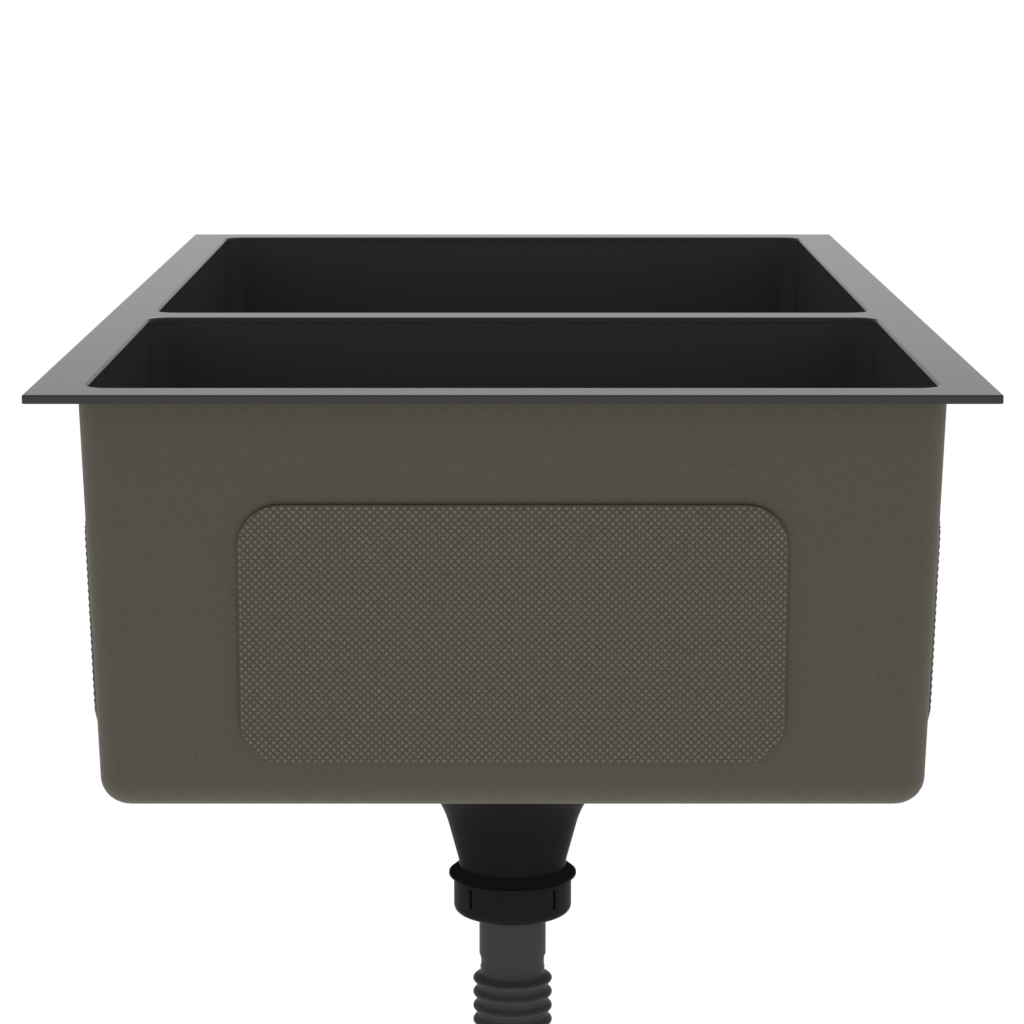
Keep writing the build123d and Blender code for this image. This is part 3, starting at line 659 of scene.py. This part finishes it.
def add_turned(shape, section, closed=True, steps=ROUND_STEPS):
    """A turned form about the Z axis; a section that ends on the axis is closed there by a pole."""
    rings = []
    for radius, z in section:
        points = circle_loop(radius, z, 0, steps) if radius > SAME_POINT else [(0, 0, z)]
        rings.append(add_loop(shape, points))
    pairs = zip(rings, rings[1:] + rings[:1]) if closed else zip(rings, rings[1:])
    for a, b in pairs:
        for k in range(max(len(a), len(b))):
            n = (k + 1) % steps
            if len(a) == 1:
                shape.faces.new((a[0], b[n], b[k]))
            elif len(b) == 1:
                shape.faces.new((a[k], a[n], b[0]))
            else:
                shape.faces.new((a[k], a[n], b[n], b[k]))


def turned(section, closed=True):
    shape = bmesh.new()
    add_turned(shape, softened(section, closed), closed)
    return shape


def ring_section(inner, outer, bottom, top, edge=RUBBER_EDGE):
    return [(inner, bottom, edge), (outer, bottom, edge), (outer, top, edge), (inner, top, edge)]


def at_drain(end, name, shape, material, node, sharp_from=None, body="root"):
    """A piece of one bowl's drain, made about the Z axis, moved to the drain and fitted to its node."""
    place = Matrix.Translation((0, BOWLS[end]["y"] * MM, 0))
    piece = new_piece(f"{end}_{name}", shape, material, place, sharp_from)
    fit(piece, f"{end}_{node}", body)
    return piece


rubber = finish_material("black_rubber", (0.018, 0.018, 0.018), 0.75, specular=0.3)
add_grain(rubber, size=0.6, depth=0.01, roughness=(0.68, 0.85))
for end in BOWLS:
    for level, size in {
        "upper": (DRAIN_HOLE, FLANGE_RADIUS - GASKET_SETBACK, DISH_TOP, DISH_TOP + UPPER_GASKET),
        "lower": (FUNNEL_MOUTH, FUNNEL_FLANGE - GASKET_SETBACK, FUNNEL_TOP, DISH_UNDERSIDE),
    }.items():
        gasket = turned(ring_section(*size))
        at_drain(end, f"{level}_ring", gasket, rubber, f"{level}_gasket")

# ------------------------------------------------------------
# Strainer cups: pressed steel with a wide flange that lies in the bowl's dish, and twelve radial
# slots in the floor round the centre screw. The steel is brushed and then coated satin black.
# ------------------------------------------------------------
CUP_MOUTH = 41.0
CUP_FLOOR = 36.0
CUP_SHEET = 1.2
SHEET_EDGE = 0.4
CUP_BEND = 4.0
CUP_DEPTH = 25.3
CUP_SLOTS = 12
CUP_SLOT_WIDTH = 4.0
FLANGE_TOP = DISH_TOP + UPPER_GASKET + CUP_SHEET
CUP_FLOOR_TOP = FLANGE_TOP - CUP_DEPTH
CUP_UNDERSIDE = CUP_FLOOR_TOP - CUP_SHEET
SCREW_HEAD = 8.0
SCREW_RADIUS = 4.0
CLEARANCE = 0.15
SLOT_SIDES = 16
SLOTTED_SHARP = radians(40)
BRUSH_SMOOTHER = 0.06
BRUSH_ROUGHER = 0.08

slotting = Tree(
    "radial_slots", count="Int", first="Float", reach="Float", level="Float", length="Float",
    width="Float", depth="Float", turn="Float",
)
g = slotting.given
post_radius = slotting.math("DIVIDE", g["width"], 2)
post = slotting.geo("MeshCylinder", SLOT_SIDES, 1, 1, post_radius, g["depth"])
spread = slotting.math("DIVIDE", slotting.math("SUBTRACT", g["length"], g["width"]), 2)
ends = [
    slotting.geo("Transform", post, slotting.xyz(x, 0, 0))
    for x in (spread, slotting.math("MULTIPLY", spread, -1))
]
rounded = slotting.geo("ConvexHull", slotting.join(*ends))
shift, tilt = slotting.xyz(g["reach"], 0, g["level"]), slotting.xyz(0, g["turn"], 0)
cutter = slotting.geo("Transform", rounded, shift, tilt)
step = slotting.math("DIVIDE", 2 * pi, g["count"])
around = slotting.math("MULTIPLY", slotting.geo("InputIndex"), step)
turn = slotting.xyz(0, 0, slotting.math("ADD", around, g["first"]))
points = slotting.geo("Points", g["count"])
cutters = slotting.geo("InstanceOnPoints", points, None, cutter, None, None, turn)
cutters = slotting.geo("RealizeInstances", cutters)
slotting.end(slotting.geo("MeshBoolean", g["geometry"], cutters, operation="DIFFERENCE", solver="EXACT"))


def slotted(shape, material, count, reach, level, length, width, depth, first=0.0, turn=0.0):
    return slotting.grow(
        host_object(shape), count=count, first=first, reach=reach * MM, level=level * MM,
        length=length * MM, width=width * MM, depth=depth * MM, turn=turn, material=material,
    )


def brushed_steel(name, base, roughness, stretch):
    material = finish_material(name, base, roughness, metallic=1.0)
    spread = roughness - BRUSH_SMOOTHER, roughness + BRUSH_ROUGHER
    add_grain(material, size=0.4, depth=0.004, roughness=spread, stretch=stretch)
    return material


strainer_steel = brushed_steel("coated_strainer_steel", (0.11, 0.11, 0.113), 0.30, (1, 0.12, 1))
for end in BOWLS:
    hole = SCREW_RADIUS + CLEARANCE
    cup = turned([
        (FLANGE_RADIUS, FLANGE_TOP, SHEET_EDGE),
        (CUP_MOUTH, FLANGE_TOP, (CUP_BEND + CUP_SHEET) / 2),
        (CUP_FLOOR, CUP_FLOOR_TOP, CUP_BEND),
        (hole, CUP_FLOOR_TOP),
        (hole, CUP_UNDERSIDE),
        (CUP_FLOOR + CUP_SHEET, CUP_UNDERSIDE, CUP_BEND + CUP_SHEET),
        (CUP_MOUTH + CUP_SHEET, FLANGE_TOP - CUP_SHEET, (CUP_BEND - CUP_SHEET) / 2),
        (FLANGE_RADIUS, FLANGE_TOP - CUP_SHEET, SHEET_EDGE),
    ])
    slot_start = SCREW_HEAD + CUP_SLOT_WIDTH
    slot_end = CUP_FLOOR - CUP_BEND - CUP_SLOT_WIDTH / 2
    cup = slotted(
        cup, strainer_steel, CUP_SLOTS, (slot_start + slot_end) / 2, CUP_FLOOR_TOP - CUP_SHEET / 2,
        slot_end - slot_start, CUP_SLOT_WIDTH, 3 * CUP_SHEET,
    )
    at_drain(end, "strainer", cup, strainer_steel, "strainer_cup", SLOTTED_SHARP)

# ------------------------------------------------------------
# Centre screws: turned stainless screws that clamp strainer, floor and waste body together. The
# socket in the head takes the basket's pin.
# ------------------------------------------------------------
SCREW_HEAD_HEIGHT = 2.2
SCREW_LENGTH = 23.0
SOCKET_RADIUS = 2.6
SOCKET_DEPTH = 8.0
SOCKET_EDGE = 0.3
THREAD_EDGE = 0.6

screw_steel = brushed_steel("turned_screw_steel", (0.60, 0.59, 0.57), 0.24, (1, 1, 0.2))
for end in BOWLS:
    head_top = CUP_FLOOR_TOP + SCREW_HEAD_HEIGHT
    screw = turned([
        (0, CUP_FLOOR_TOP - SCREW_LENGTH),
        (SCREW_RADIUS, CUP_FLOOR_TOP - SCREW_LENGTH, THREAD_EDGE),
        (SCREW_RADIUS, CUP_FLOOR_TOP),
        (SCREW_HEAD, CUP_FLOOR_TOP),
        (SCREW_HEAD, head_top, SCREW_HEAD_HEIGHT / 2),
        (SOCKET_RADIUS, head_top, SOCKET_EDGE),
        (SOCKET_RADIUS, head_top - SOCKET_DEPTH),
        (0, head_top - SOCKET_DEPTH),
    ], closed=False)
    at_drain(end, "clamp_screw", screw, screw_steel, "centre_screw")

# ------------------------------------------------------------
# Baskets: perforated cups of the same coated steel with an out-turned rim, which lift out. Twelve
# windows go round the wall and eight slots through the floor.
# ------------------------------------------------------------
BASKET_GAP = 1.2
BASKET_SHEET = 1.0
BASKET_BEND = 4.0
BASKET_RIM_OVERLAP = 2.5
BASKET_SLOTS = 12
BASKET_SLOT_WIDTH = 4.5
BASKET_SLOT_HEIGHT = 10.0
BASKET_FLOOR_SLOTS = 8
REST_GAP = 0.3
SEAL_THICKNESS = 3.0
BASKET_UNDERSIDE = CUP_FLOOR_TOP + REST_GAP + SEAL_THICKNESS
BASKET_TOP = FLANGE_TOP + REST_GAP + BASKET_SHEET
PIN_RADIUS = 2.3

basket_steel = brushed_steel("coated_basket_steel", (0.12, 0.12, 0.123), 0.28, (1, 1, 0.15))
flare = (CUP_MOUTH - CUP_FLOOR) / CUP_DEPTH
wall_low = CUP_FLOOR - BASKET_GAP + (BASKET_UNDERSIDE - CUP_FLOOR_TOP) * flare
wall_high = CUP_MOUTH - BASKET_GAP
for end in BOWLS:
    hole = PIN_RADIUS + CLEARANCE
    basket = turned([
        (CUP_MOUTH + BASKET_RIM_OVERLAP, BASKET_TOP, SHEET_EDGE),
        (wall_high - BASKET_SHEET, BASKET_TOP, BASKET_BEND / 2),
        (wall_low - BASKET_SHEET, BASKET_UNDERSIDE + BASKET_SHEET, BASKET_BEND - BASKET_SHEET),
        (hole, BASKET_UNDERSIDE + BASKET_SHEET),
        (hole, BASKET_UNDERSIDE),
        (wall_low, BASKET_UNDERSIDE, BASKET_BEND),
        (wall_high, BASKET_TOP - BASKET_SHEET, BASKET_BEND / 2 - BASKET_SHEET),
        (CUP_MOUTH + BASKET_RIM_OVERLAP, BASKET_TOP - BASKET_SHEET, SHEET_EDGE),
    ])
    basket = slotted(
        basket, basket_steel, BASKET_SLOTS, wall_low, (BASKET_TOP + BASKET_UNDERSIDE) / 2,
        BASKET_SLOT_HEIGHT, BASKET_SLOT_WIDTH, 4 * BASKET_BEND, turn=pi / 2,
    )
    slot_start, slot_end = wall_low / 3, wall_low - 2 * BASKET_BEND
    basket = slotted(
        basket, basket_steel, BASKET_FLOOR_SLOTS, (slot_start + slot_end) / 2, BASKET_UNDERSIDE,
        slot_end - slot_start, BASKET_SLOT_WIDTH, 4 * BASKET_SHEET,
    )
    body = f"{end}_basket"
    at_drain(end, "basket_cup", basket, basket_steel, "basket", SLOTTED_SHARP, body)

# ------------------------------------------------------------
# Basket knobs: turned posts with a mushroom head to lift the basket by, and a pin that enters the
# screw's socket. Rubber seals: discs under the basket that shut the strainer's slots.
# ------------------------------------------------------------
POST_RADIUS = 3.5
KNOB_RADIUS = 11.0
KNOB_HEIGHT = 7.0
KNOB_EDGE = 3.0
KNOB_RISE = 13.0
PIN_REACH = 5.0
PIN_EDGE = 0.8
SEAL_CLEARANCE = 1.5

knob_steel = brushed_steel("coated_knob_steel", (0.14, 0.14, 0.143), 0.24, (1, 1, 0.2))
for end in BOWLS:
    body = f"{end}_basket"
    knob_top = FLOOR_TOP + KNOB_RISE
    floor_top = BASKET_UNDERSIDE + BASKET_SHEET
    pin_end = CUP_FLOOR_TOP + SCREW_HEAD_HEIGHT - PIN_REACH
    knob = turned([
        (0, pin_end),
        (PIN_RADIUS, pin_end, PIN_EDGE),
        (PIN_RADIUS, floor_top),
        (POST_RADIUS, floor_top),
        (POST_RADIUS, knob_top - KNOB_HEIGHT, KNOB_EDGE),
        (KNOB_RADIUS, knob_top - KNOB_HEIGHT, KNOB_HEIGHT / 4),
        (KNOB_RADIUS, knob_top, KNOB_EDGE),
        (0, knob_top),
    ], closed=False)
    at_drain(end, "lift_knob", knob, knob_steel, "basket_knob", body=body)
    seal_low = BASKET_UNDERSIDE - SEAL_THICKNESS
    seal = ring_section(SCREW_HEAD + SEAL_CLEARANCE, CUP_FLOOR - CUP_BEND, seal_low, BASKET_UNDERSIDE)
    at_drain(end, "stopper_disc", turned(seal), rubber, "basket_seal", body=body)

# ------------------------------------------------------------
# Waste bodies: black moulded funnels that flare out under the bowl, with a short threaded spigot,
# and inside a cross with a boss that takes the centre screw. A thick rubber ring, which slopes out
# from the funnel's neck to a thin lip, lies between each neck and its coupling nut.
# ------------------------------------------------------------
FUNNEL_WALL = 3.0
FUNNEL_HEIGHT = 61.9
THROAT_RADIUS = 32.8
THROAT_DROP = 39.4
FLARE_RADIUS = 44.0
FLARE_END_SLOPE = radians(14.93)
NECK_RADIUS = 27.4
NECK_STRAIGHT = 2.4
RING_RADIUS = 32.5
RING_HEIGHT = 5.3
RING_LIP = 1.3
RING_LIP_EDGE = 0.4
RING_TOP_EDGE = 1.4
SPIGOT_RADIUS = 24.0
SPIGOT_BORE = 20.5
SPIGOT_LENGTH = 11.8
NUT_CLEARANCE = 0.3
FUNNEL_LIP = 1.2
SPIDER_ARMS = 4
SPIDER_ARM = 3.0
ARM_START = 2.0
ARM_FOOT = 30.0
ARM_TOP = 36.4
BOSS_WALL = 4.0
BOSS_EDGE = 0.6
BOSS_BORE_EDGE = 0.4
FLARE_STEPS = 16
MOULDED_SHARP = radians(35)
NECK_Z = FUNNEL_TOP - FUNNEL_HEIGHT
RING_UNDERSIDE = NECK_Z - RING_HEIGHT

throat_z = FUNNEL_TOP - THROAT_DROP
spigot_end = RING_UNDERSIDE - SPIGOT_LENGTH
flare_middle = Vector((
    THROAT_RADIUS + FLARE_RADIUS * cos(FLARE_END_SLOPE), throat_z - FLARE_RADIUS * sin(FLARE_END_SLOPE)
))


def flare_arc(radius, mouth):
    """Trumpet arc from the radius called mouth at the top down to the start of the cone."""
    first, last = acos((mouth - flare_middle.x) / radius), pi - FLARE_END_SLOPE
    turns = [first + (last - first) * k / FLARE_STEPS for k in range(FLARE_STEPS + 1)]
    return [flare_middle + radius * Vector((cos(a), sin(a))) for a in turns]


waste_black = finish_material("black_moulded_plastic", (0.014, 0.014, 0.014), 0.45, specular=0.01)
add_grain(waste_black, size=0.7, depth=0.006, roughness=(0.33, 0.45))
# The coupling ring's lip takes a darker copy of its rubber, as painted shade for the groove between ring
# and nut.
ring_lip_shade_rubber = finish_material("black_rubber_lip_painted_shade", (0.004, 0.004, 0.004), 0.5, specular=0.02)
add_grain(ring_lip_shade_rubber, size=0.6, depth=0.004, roughness=(0.4, 0.5))
ring_slope_rubber = finish_material("black_rubber_ring_slope", (0.018, 0.018, 0.018), 0.5, specular=0.0)
add_grain(ring_slope_rubber, size=0.6, depth=0.004, roughness=(0.4, 0.5))
for end in BOWLS:
    outer = flare_arc(FLARE_RADIUS, FUNNEL_FLANGE)
    outer[0].y = max(outer[0].y, FUNNEL_TOP - FUNNEL_LIP)
    section = [Vector((FUNNEL_FLANGE, FUNNEL_TOP))] + outer
    section += [Vector(point) for point in (
        (NECK_RADIUS, NECK_Z + NECK_STRAIGHT), (NECK_RADIUS, NECK_Z), (SPIGOT_RADIUS, NECK_Z),
        (SPIGOT_RADIUS, spigot_end), (SPIGOT_BORE, spigot_end), (SPIGOT_BORE, NECK_Z),
    )]  # fmt: skip
    section += flare_arc(FLARE_RADIUS + FUNNEL_WALL, FUNNEL_MOUTH)[::-1]
    shape = bmesh.new()
    add_turned(shape, section)
    at_drain(end, "funnel", shape, waste_black, "waste_body", MOULDED_SHARP)
    arms_bottom = CUP_FLOOR_TOP - SCREW_LENGTH
    shape = turned([
        (SCREW_RADIUS + CLEARANCE, CUP_UNDERSIDE, BOSS_BORE_EDGE),
        (SCREW_RADIUS + BOSS_WALL, CUP_UNDERSIDE, BOSS_EDGE),
        (SCREW_RADIUS + BOSS_WALL, arms_bottom, BOSS_EDGE),
        (SCREW_RADIUS + CLEARANCE, arms_bottom, BOSS_BORE_EDGE),
    ])
    arms_top = CUP_UNDERSIDE - SPIDER_ARM
    root = SCREW_RADIUS + ARM_START
    profile = [(root, arms_bottom), (ARM_FOOT, arms_bottom), (ARM_TOP, arms_top), (root, arms_top)]
    for k in range(SPIDER_ARMS):
        turn = Matrix.Rotation((2 * k + 1) * pi / SPIDER_ARMS, 3, "Z")
        sides = [
            add_loop(shape, [turn @ Vector((r, y, z)) for r, z in profile])
            for y in (-SPIDER_ARM / 2, SPIDER_ARM / 2)
        ]
        add_skin(shape, sides)
        add_flat(shape, sides[0])
        add_flat(shape, sides[1])
    at_drain(end, "cross", shape, waste_black, "waste_body", MOULDED_SHARP)
    ring = [
        (SPIGOT_RADIUS + NUT_CLEARANCE, RING_UNDERSIDE, RUBBER_EDGE),
        (RING_RADIUS, RING_UNDERSIDE),
        (RING_RADIUS, RING_UNDERSIDE + RING_LIP, RING_LIP_EDGE),
        (NECK_RADIUS, NECK_Z, RING_TOP_EDGE),
        (SPIGOT_RADIUS + NUT_CLEARANCE, NECK_Z, RUBBER_EDGE),
    ]
    piece = at_drain(end, "rubber_ring", turned(ring), ring_lip_shade_rubber, "waste_ring")
    # The faces of the lip and underside keep the darker rubber as painted shade; the slope above takes a
    # lighter rubber.
    piece.data.materials.append(ring_slope_rubber)
    for face in piece.data.polygons:
        face.material_index = int(face.center.z > (RING_UNDERSIDE + RING_LIP) * MM)

# ------------------------------------------------------------
# Hoses: grey moulded tubes in one piece. A smooth cuff with a collar sits in each coupling, then a
# narrower neck, then ribs in an even wave that let the hose take its quarter bend.
# ------------------------------------------------------------
WASHER = 1.8
COLLAR = 2.0
COLLAR_RADIUS = 23.5
CUFF_RADIUS = 17.05
CUFF_LENGTH = 28.7
TUBE_NECK_RADIUS = 16.15
TUBE_NECK_LENGTH = 9.5
NECK_STEP = 0.6
CUFF_EDGE = 0.4
NECK_EDGE = 0.3
HOSE_BORE = 14.0
RIB_RADIUS = 20.3
RIB_VALLEY = 17.65
RIB_PITCH = 7.4
RIB_STEPS = 12
HOSE_STRAIGHT = 74.5
HOSE_BEND = 120.0
TEE_REACH = 24.0
HOSE_SIDES = 72
ROUTE_STEPS = 48
CORE_STEPS = 64
HANDLE = 0.5523  # of a quarter circle's radius
FIRST_HANDLE = 20.0
LAST_HANDLE = 10.0
RING_GAP = 0.004  # least step between two rings of the section
MERGE_GAP = 0.02
TEE_Y = (BOWLS["near"]["y"] + BOWLS["far"]["y"]) / 2
HOSE_OFFSET = SPIGOT_LENGTH + WASHER
HOSE_START = RING_UNDERSIDE - HOSE_OFFSET
RUN_Z = HOSE_START - HOSE_STRAIGHT - HOSE_BEND


def hose_route(bowl):
    """The hose's centre line as a curve: straight down, a quarter bend, straight into the tee."""
    towards = -bowl["side"]
    turn_y = bowl["y"] + towards * HOSE_BEND
    end_y = TEE_Y - towards * (TEE_REACH + HOSE_OFFSET)
    reach = HOSE_BEND * HANDLE
    down, along = Vector((0, 0, -1)), Vector((0, towards, 0))
    knots = [
        (bowl["y"], HOSE_START, down, FIRST_HANDLE, FIRST_HANDLE),
        (bowl["y"], HOSE_START - HOSE_STRAIGHT, down, FIRST_HANDLE, reach),
        (turn_y, RUN_Z, along, reach, LAST_HANDLE),
        (end_y, RUN_Z, along, LAST_HANDLE, LAST_HANDLE),
    ]
    curve = bpy.data.curves.new("hose_route", "CURVE")
    curve.dimensions = "3D"
    curve.resolution_u = ROUTE_STEPS
    spline = curve.splines.new("BEZIER")
    spline.bezier_points.add(len(knots) - 1)
    for knot, (y, z, way, before, after) in zip(spline.bezier_points, knots):
        place = Vector((0, y, z))
        knot.co = place * MM
        knot.handle_left = (place - way * before) * MM
        knot.handle_right = (place + way * after) * MM
    return add_object("hose_route", curve)


def hose_section(length):
    """(distance, radius) along the outside, from the bore's edge at one end to that at the other."""
    end = softened([
        (0, HOSE_BORE),
        (0, COLLAR_RADIUS),
        (COLLAR, COLLAR_RADIUS),
        (COLLAR, CUFF_RADIUS),
        (CUFF_LENGTH, CUFF_RADIUS, CUFF_EDGE),
        (CUFF_LENGTH + NECK_STEP, TUBE_NECK_RADIUS, NECK_EDGE),
        (CUFF_LENGTH + TUBE_NECK_LENGTH, TUBE_NECK_RADIUS),
    ])
    first = CUFF_LENGTH + TUBE_NECK_LENGTH
    ribs = round((length - 2 * first) / RIB_PITCH)
    pitch = (length - 2 * first) / ribs
    middle = []
    for k in range(ribs):
        for j in range(RIB_STEPS):
            wave = (1 - cos(2 * pi * j / RIB_STEPS)) / 2
            at_neck = (k == 0 and 2 * j < RIB_STEPS) or (k == ribs - 1 and 2 * j > RIB_STEPS)
            foot = TUBE_NECK_RADIUS if at_neck else RIB_VALLEY
            radius = foot + (RIB_RADIUS - foot) * wave
            middle.append(Vector((first + pitch * (k + j / RIB_STEPS), radius)))
    section = end + middle + [Vector((length - p.x, p.y)) for p in reversed(end)]
    for before, after in zip(section, section[1:]):
        after.x = max(after.x, before.x + RING_GAP)
    return section


sweeping = Tree("swept_hose", route="Object", sides="Int", bore="Float")
g = sweeping.given
line = sweeping.geo("MeshToCurve", g["geometry"])
spot = sweeping.add("ShaderNodeSeparateXYZ", sweeping.geo("InputPosition"))
route = sweeping.geo("ObjectInfo", g["route"], out="Geometry")
sized = sweeping.geo("SetCurveRadius", line, None, spot.node.outputs["Y"])
far = spot.node.outputs["X"]
on_route = sweeping.geo("SampleCurve", route, None, far, out="Position", mode="LENGTH")
laid = sweeping.geo("SetPosition", sized, None, on_route)
circle = sweeping.geo("CurvePrimitiveCircle", g["sides"], 1.0)
outside = sweeping.geo("CurveToMesh", laid, circle, sweeping.geo("InputRadius"))
core = sweeping.geo("ResampleCurve", laid, None, CORE_STEPS)
inside = sweeping.geo("CurveToMesh", core, circle, g["bore"])
both = sweeping.join(outside, inside)
sweeping.end(sweeping.geo("MergeByDistance", both, None, MERGE_GAP * MM))

hose_grey = finish_material("grey_moulded_hose", (0.059, 0.059, 0.059), 0.5, specular=0.03)
add_grain(hose_grey, size=0.9, depth=0.008, roughness=(0.38, 0.48))
last_straight = TEE_Y - BOWLS["near"]["y"] - HOSE_BEND - TEE_REACH - HOSE_OFFSET
hose_length = HOSE_STRAIGHT + HOSE_BEND * pi / 2 + last_straight
for end, bowl in BOWLS.items():
    route_object = hose_route(bowl)
    shape = bmesh.new()
    points = [shape.verts.new((p.x * MM, p.y * MM, 0)) for p in hose_section(hose_length)]
    for a, b in zip(points, points[1:]):
        shape.edges.new((a, b))
    shape = sweeping.grow(
        host_object(shape), route=route_object, sides=HOSE_SIDES, bore=HOSE_BORE * MM, material=hose_grey
    )
    bpy.data.objects.remove(route_object)
    piece = new_piece(f"{end}_ribbed_hose", shape, hose_grey, sharp_from=SHEET_SHARP)
    fit(piece, f"{end}_hose")

# ------------------------------------------------------------
# Coupling nuts and washers: black moulded ring nuts with a rounded foot and short grip slots, each
# over a flat rubber washer, at both ends of each hose.
# ------------------------------------------------------------
NUT_RADIUS = 30.0
NUT_LENGTH = 19.6
NUT_EDGE = 4.0
NUT_TOP_EDGE = 0.5
NUT_SLOTS = 4
NUT_SLOT_WIDTH = 1.8
NUT_SLOT_DEPTH = 1.6
NUT_SLOT_START = 2.5
NUT_SLOT_LENGTH = 10.4
TUBE_CLEARANCE = 0.4
NUT_LIP = HOSE_OFFSET + COLLAR


def joint_frame(y, z, out):
    """Place of a coupling at what its nut is screwed up against, local Z pointing along the hose."""
    across = Vector((1, 0, 0))
    turned_frame = Matrix((across, out.cross(across), out)).transposed().to_4x4()
    return Matrix.Translation((0, y * MM, z * MM)) @ turned_frame


nut_black = finish_material("black_nut_plastic", (0.015, 0.015, 0.015), 0.42, specular=0.02)
add_grain(nut_black, size=0.7, depth=0.006, roughness=(0.38, 0.5))
for end, bowl in BOWLS.items():
    side = bowl["side"]
    joints = {
        "waste": joint_frame(bowl["y"], RING_UNDERSIDE, Vector((0, 0, -1))),
        "tee": joint_frame(TEE_Y + side * TEE_REACH, RUN_Z, Vector((0, side, 0))),
    }
    for joint, place in joints.items():
        thread, mouth = SPIGOT_RADIUS + NUT_CLEARANCE, CUFF_RADIUS + TUBE_CLEARANCE
        nut = turned([
            (thread, NUT_CLEARANCE, NUT_TOP_EDGE),
            (NUT_RADIUS, NUT_CLEARANCE, NUT_TOP_EDGE),
            (NUT_RADIUS, NUT_LENGTH, NUT_EDGE),
            (mouth, NUT_LENGTH, NUT_TOP_EDGE),
            (mouth, NUT_LIP),
            (thread, NUT_LIP),
        ])
        nut = slotted(
            nut, nut_black, NUT_SLOTS, NUT_RADIUS, NUT_SLOT_START + NUT_SLOT_LENGTH / 2, NUT_SLOT_LENGTH,
            NUT_SLOT_WIDTH, 2 * NUT_SLOT_DEPTH, first=pi / 4, turn=pi / 2,
        )
        piece = new_piece(f"{end}_{joint}_ring_nut", nut, nut_black, place, SLOTTED_SHARP)
        fit(piece, f"{end}_{joint}_nut")
        section = ring_section(SPIGOT_BORE, COLLAR_RADIUS, SPIGOT_LENGTH, HOSE_OFFSET)
        piece = new_piece(f"{end}_{joint}_flat_washer", turned(section), rubber, place=place)
        fit(piece, f"{end}_{joint}_washer")

# ------------------------------------------------------------
# Branch tee: a black moulded fitting between the two hoses, with a beaded spigot at each end of its
# run and a plain outlet straight down for the trap.
# ------------------------------------------------------------
TEE_RADIUS = 23.0
TEE_BORE = 19.0
TEE_BEAD = 3.0
TEE_DROP = 33.0
OUTLET_RADIUS = 20.0
OUTLET_BORE = 17.5
OUTLET_LENGTH = 32.0
OUTLET_CHAMFER = 1.5
BEAD_ROUND = 0.95
RUN_OVERLAP = 2.0


def combined(host, other, operation):
    """The host mesh with another solid added to it or taken from it."""
    modifier = host.modifiers.new("combine", "BOOLEAN")
    modifier.object = other
    modifier.operation = operation
    modifier.solver = "EXACT"
    mesh = bpy.data.meshes.new_from_object(host.evaluated_get(bpy.context.evaluated_depsgraph_get()))
    bpy.data.objects.remove(other)
    bpy.data.objects.remove(host)
    shape = bmesh.new()
    shape.from_mesh(mesh)
    return host_object(shape)


def turned_solid(outline, turn):
    """A closed turned form as an object to combine with others."""
    shape = bmesh.new()
    add_turned(shape, outline, closed=False)
    bmesh.ops.transform(shape, matrix=turn, verts=shape.verts)
    bmesh.ops.recalc_face_normals(shape, faces=shape.faces)
    return host_object(shape)


bead_low = TEE_REACH - 2 * TEE_BEAD
tip = TEE_REACH + SPIGOT_LENGTH
half_run = [
    (TEE_RADIUS, bead_low),
    (SPIGOT_RADIUS + 2 * TEE_BEAD, bead_low, TEE_BEAD * BEAD_ROUND),
    (SPIGOT_RADIUS + 2 * TEE_BEAD, TEE_REACH, TEE_BEAD * BEAD_ROUND),
    (SPIGOT_RADIUS, TEE_REACH),
    (SPIGOT_RADIUS, tip, THREAD_EDGE),
]
run = [(0, -tip)] + [(r, -z, *bend) for r, z, *bend in reversed(half_run)] + half_run + [(0, tip)]
lie, upright = Matrix.Rotation(pi / 2, 4, "X"), Matrix.Identity(4)
depth = TEE_DROP + OUTLET_LENGTH
outlet = [
    (0, -depth),
    (OUTLET_RADIUS - OUTLET_CHAMFER, -depth),
    (OUTLET_RADIUS, OUTLET_CHAMFER - depth),
    (OUTLET_RADIUS, -TEE_DROP),
    (TEE_RADIUS, -TEE_DROP, (TEE_RADIUS - OUTLET_RADIUS) / 2),
    (TEE_RADIUS, -RUN_OVERLAP),
    (0, -RUN_OVERLAP),
]
tee = combined(turned_solid(softened(run), lie), turned_solid(softened(outlet), upright), "UNION")
bores = ((TEE_BORE, -2 * tip, 2 * tip, lie), (OUTLET_BORE, -2 * depth, 0, upright))
for radius, low, high, turn in bores:
    bore = turned_solid([(0, low), (radius, low), (radius, high), (0, high)], turn)
    tee = combined(tee, bore, "DIFFERENCE")
shape = bmesh.new()
shape.from_mesh(tee.data)
bpy.data.objects.remove(tee)
place = Matrix.Translation((0, TEE_Y * MM, RUN_Z * MM))
piece = new_piece("waste_tee", shape, waste_black, place, MOULDED_SHARP)
fit(piece, "branch_tee")
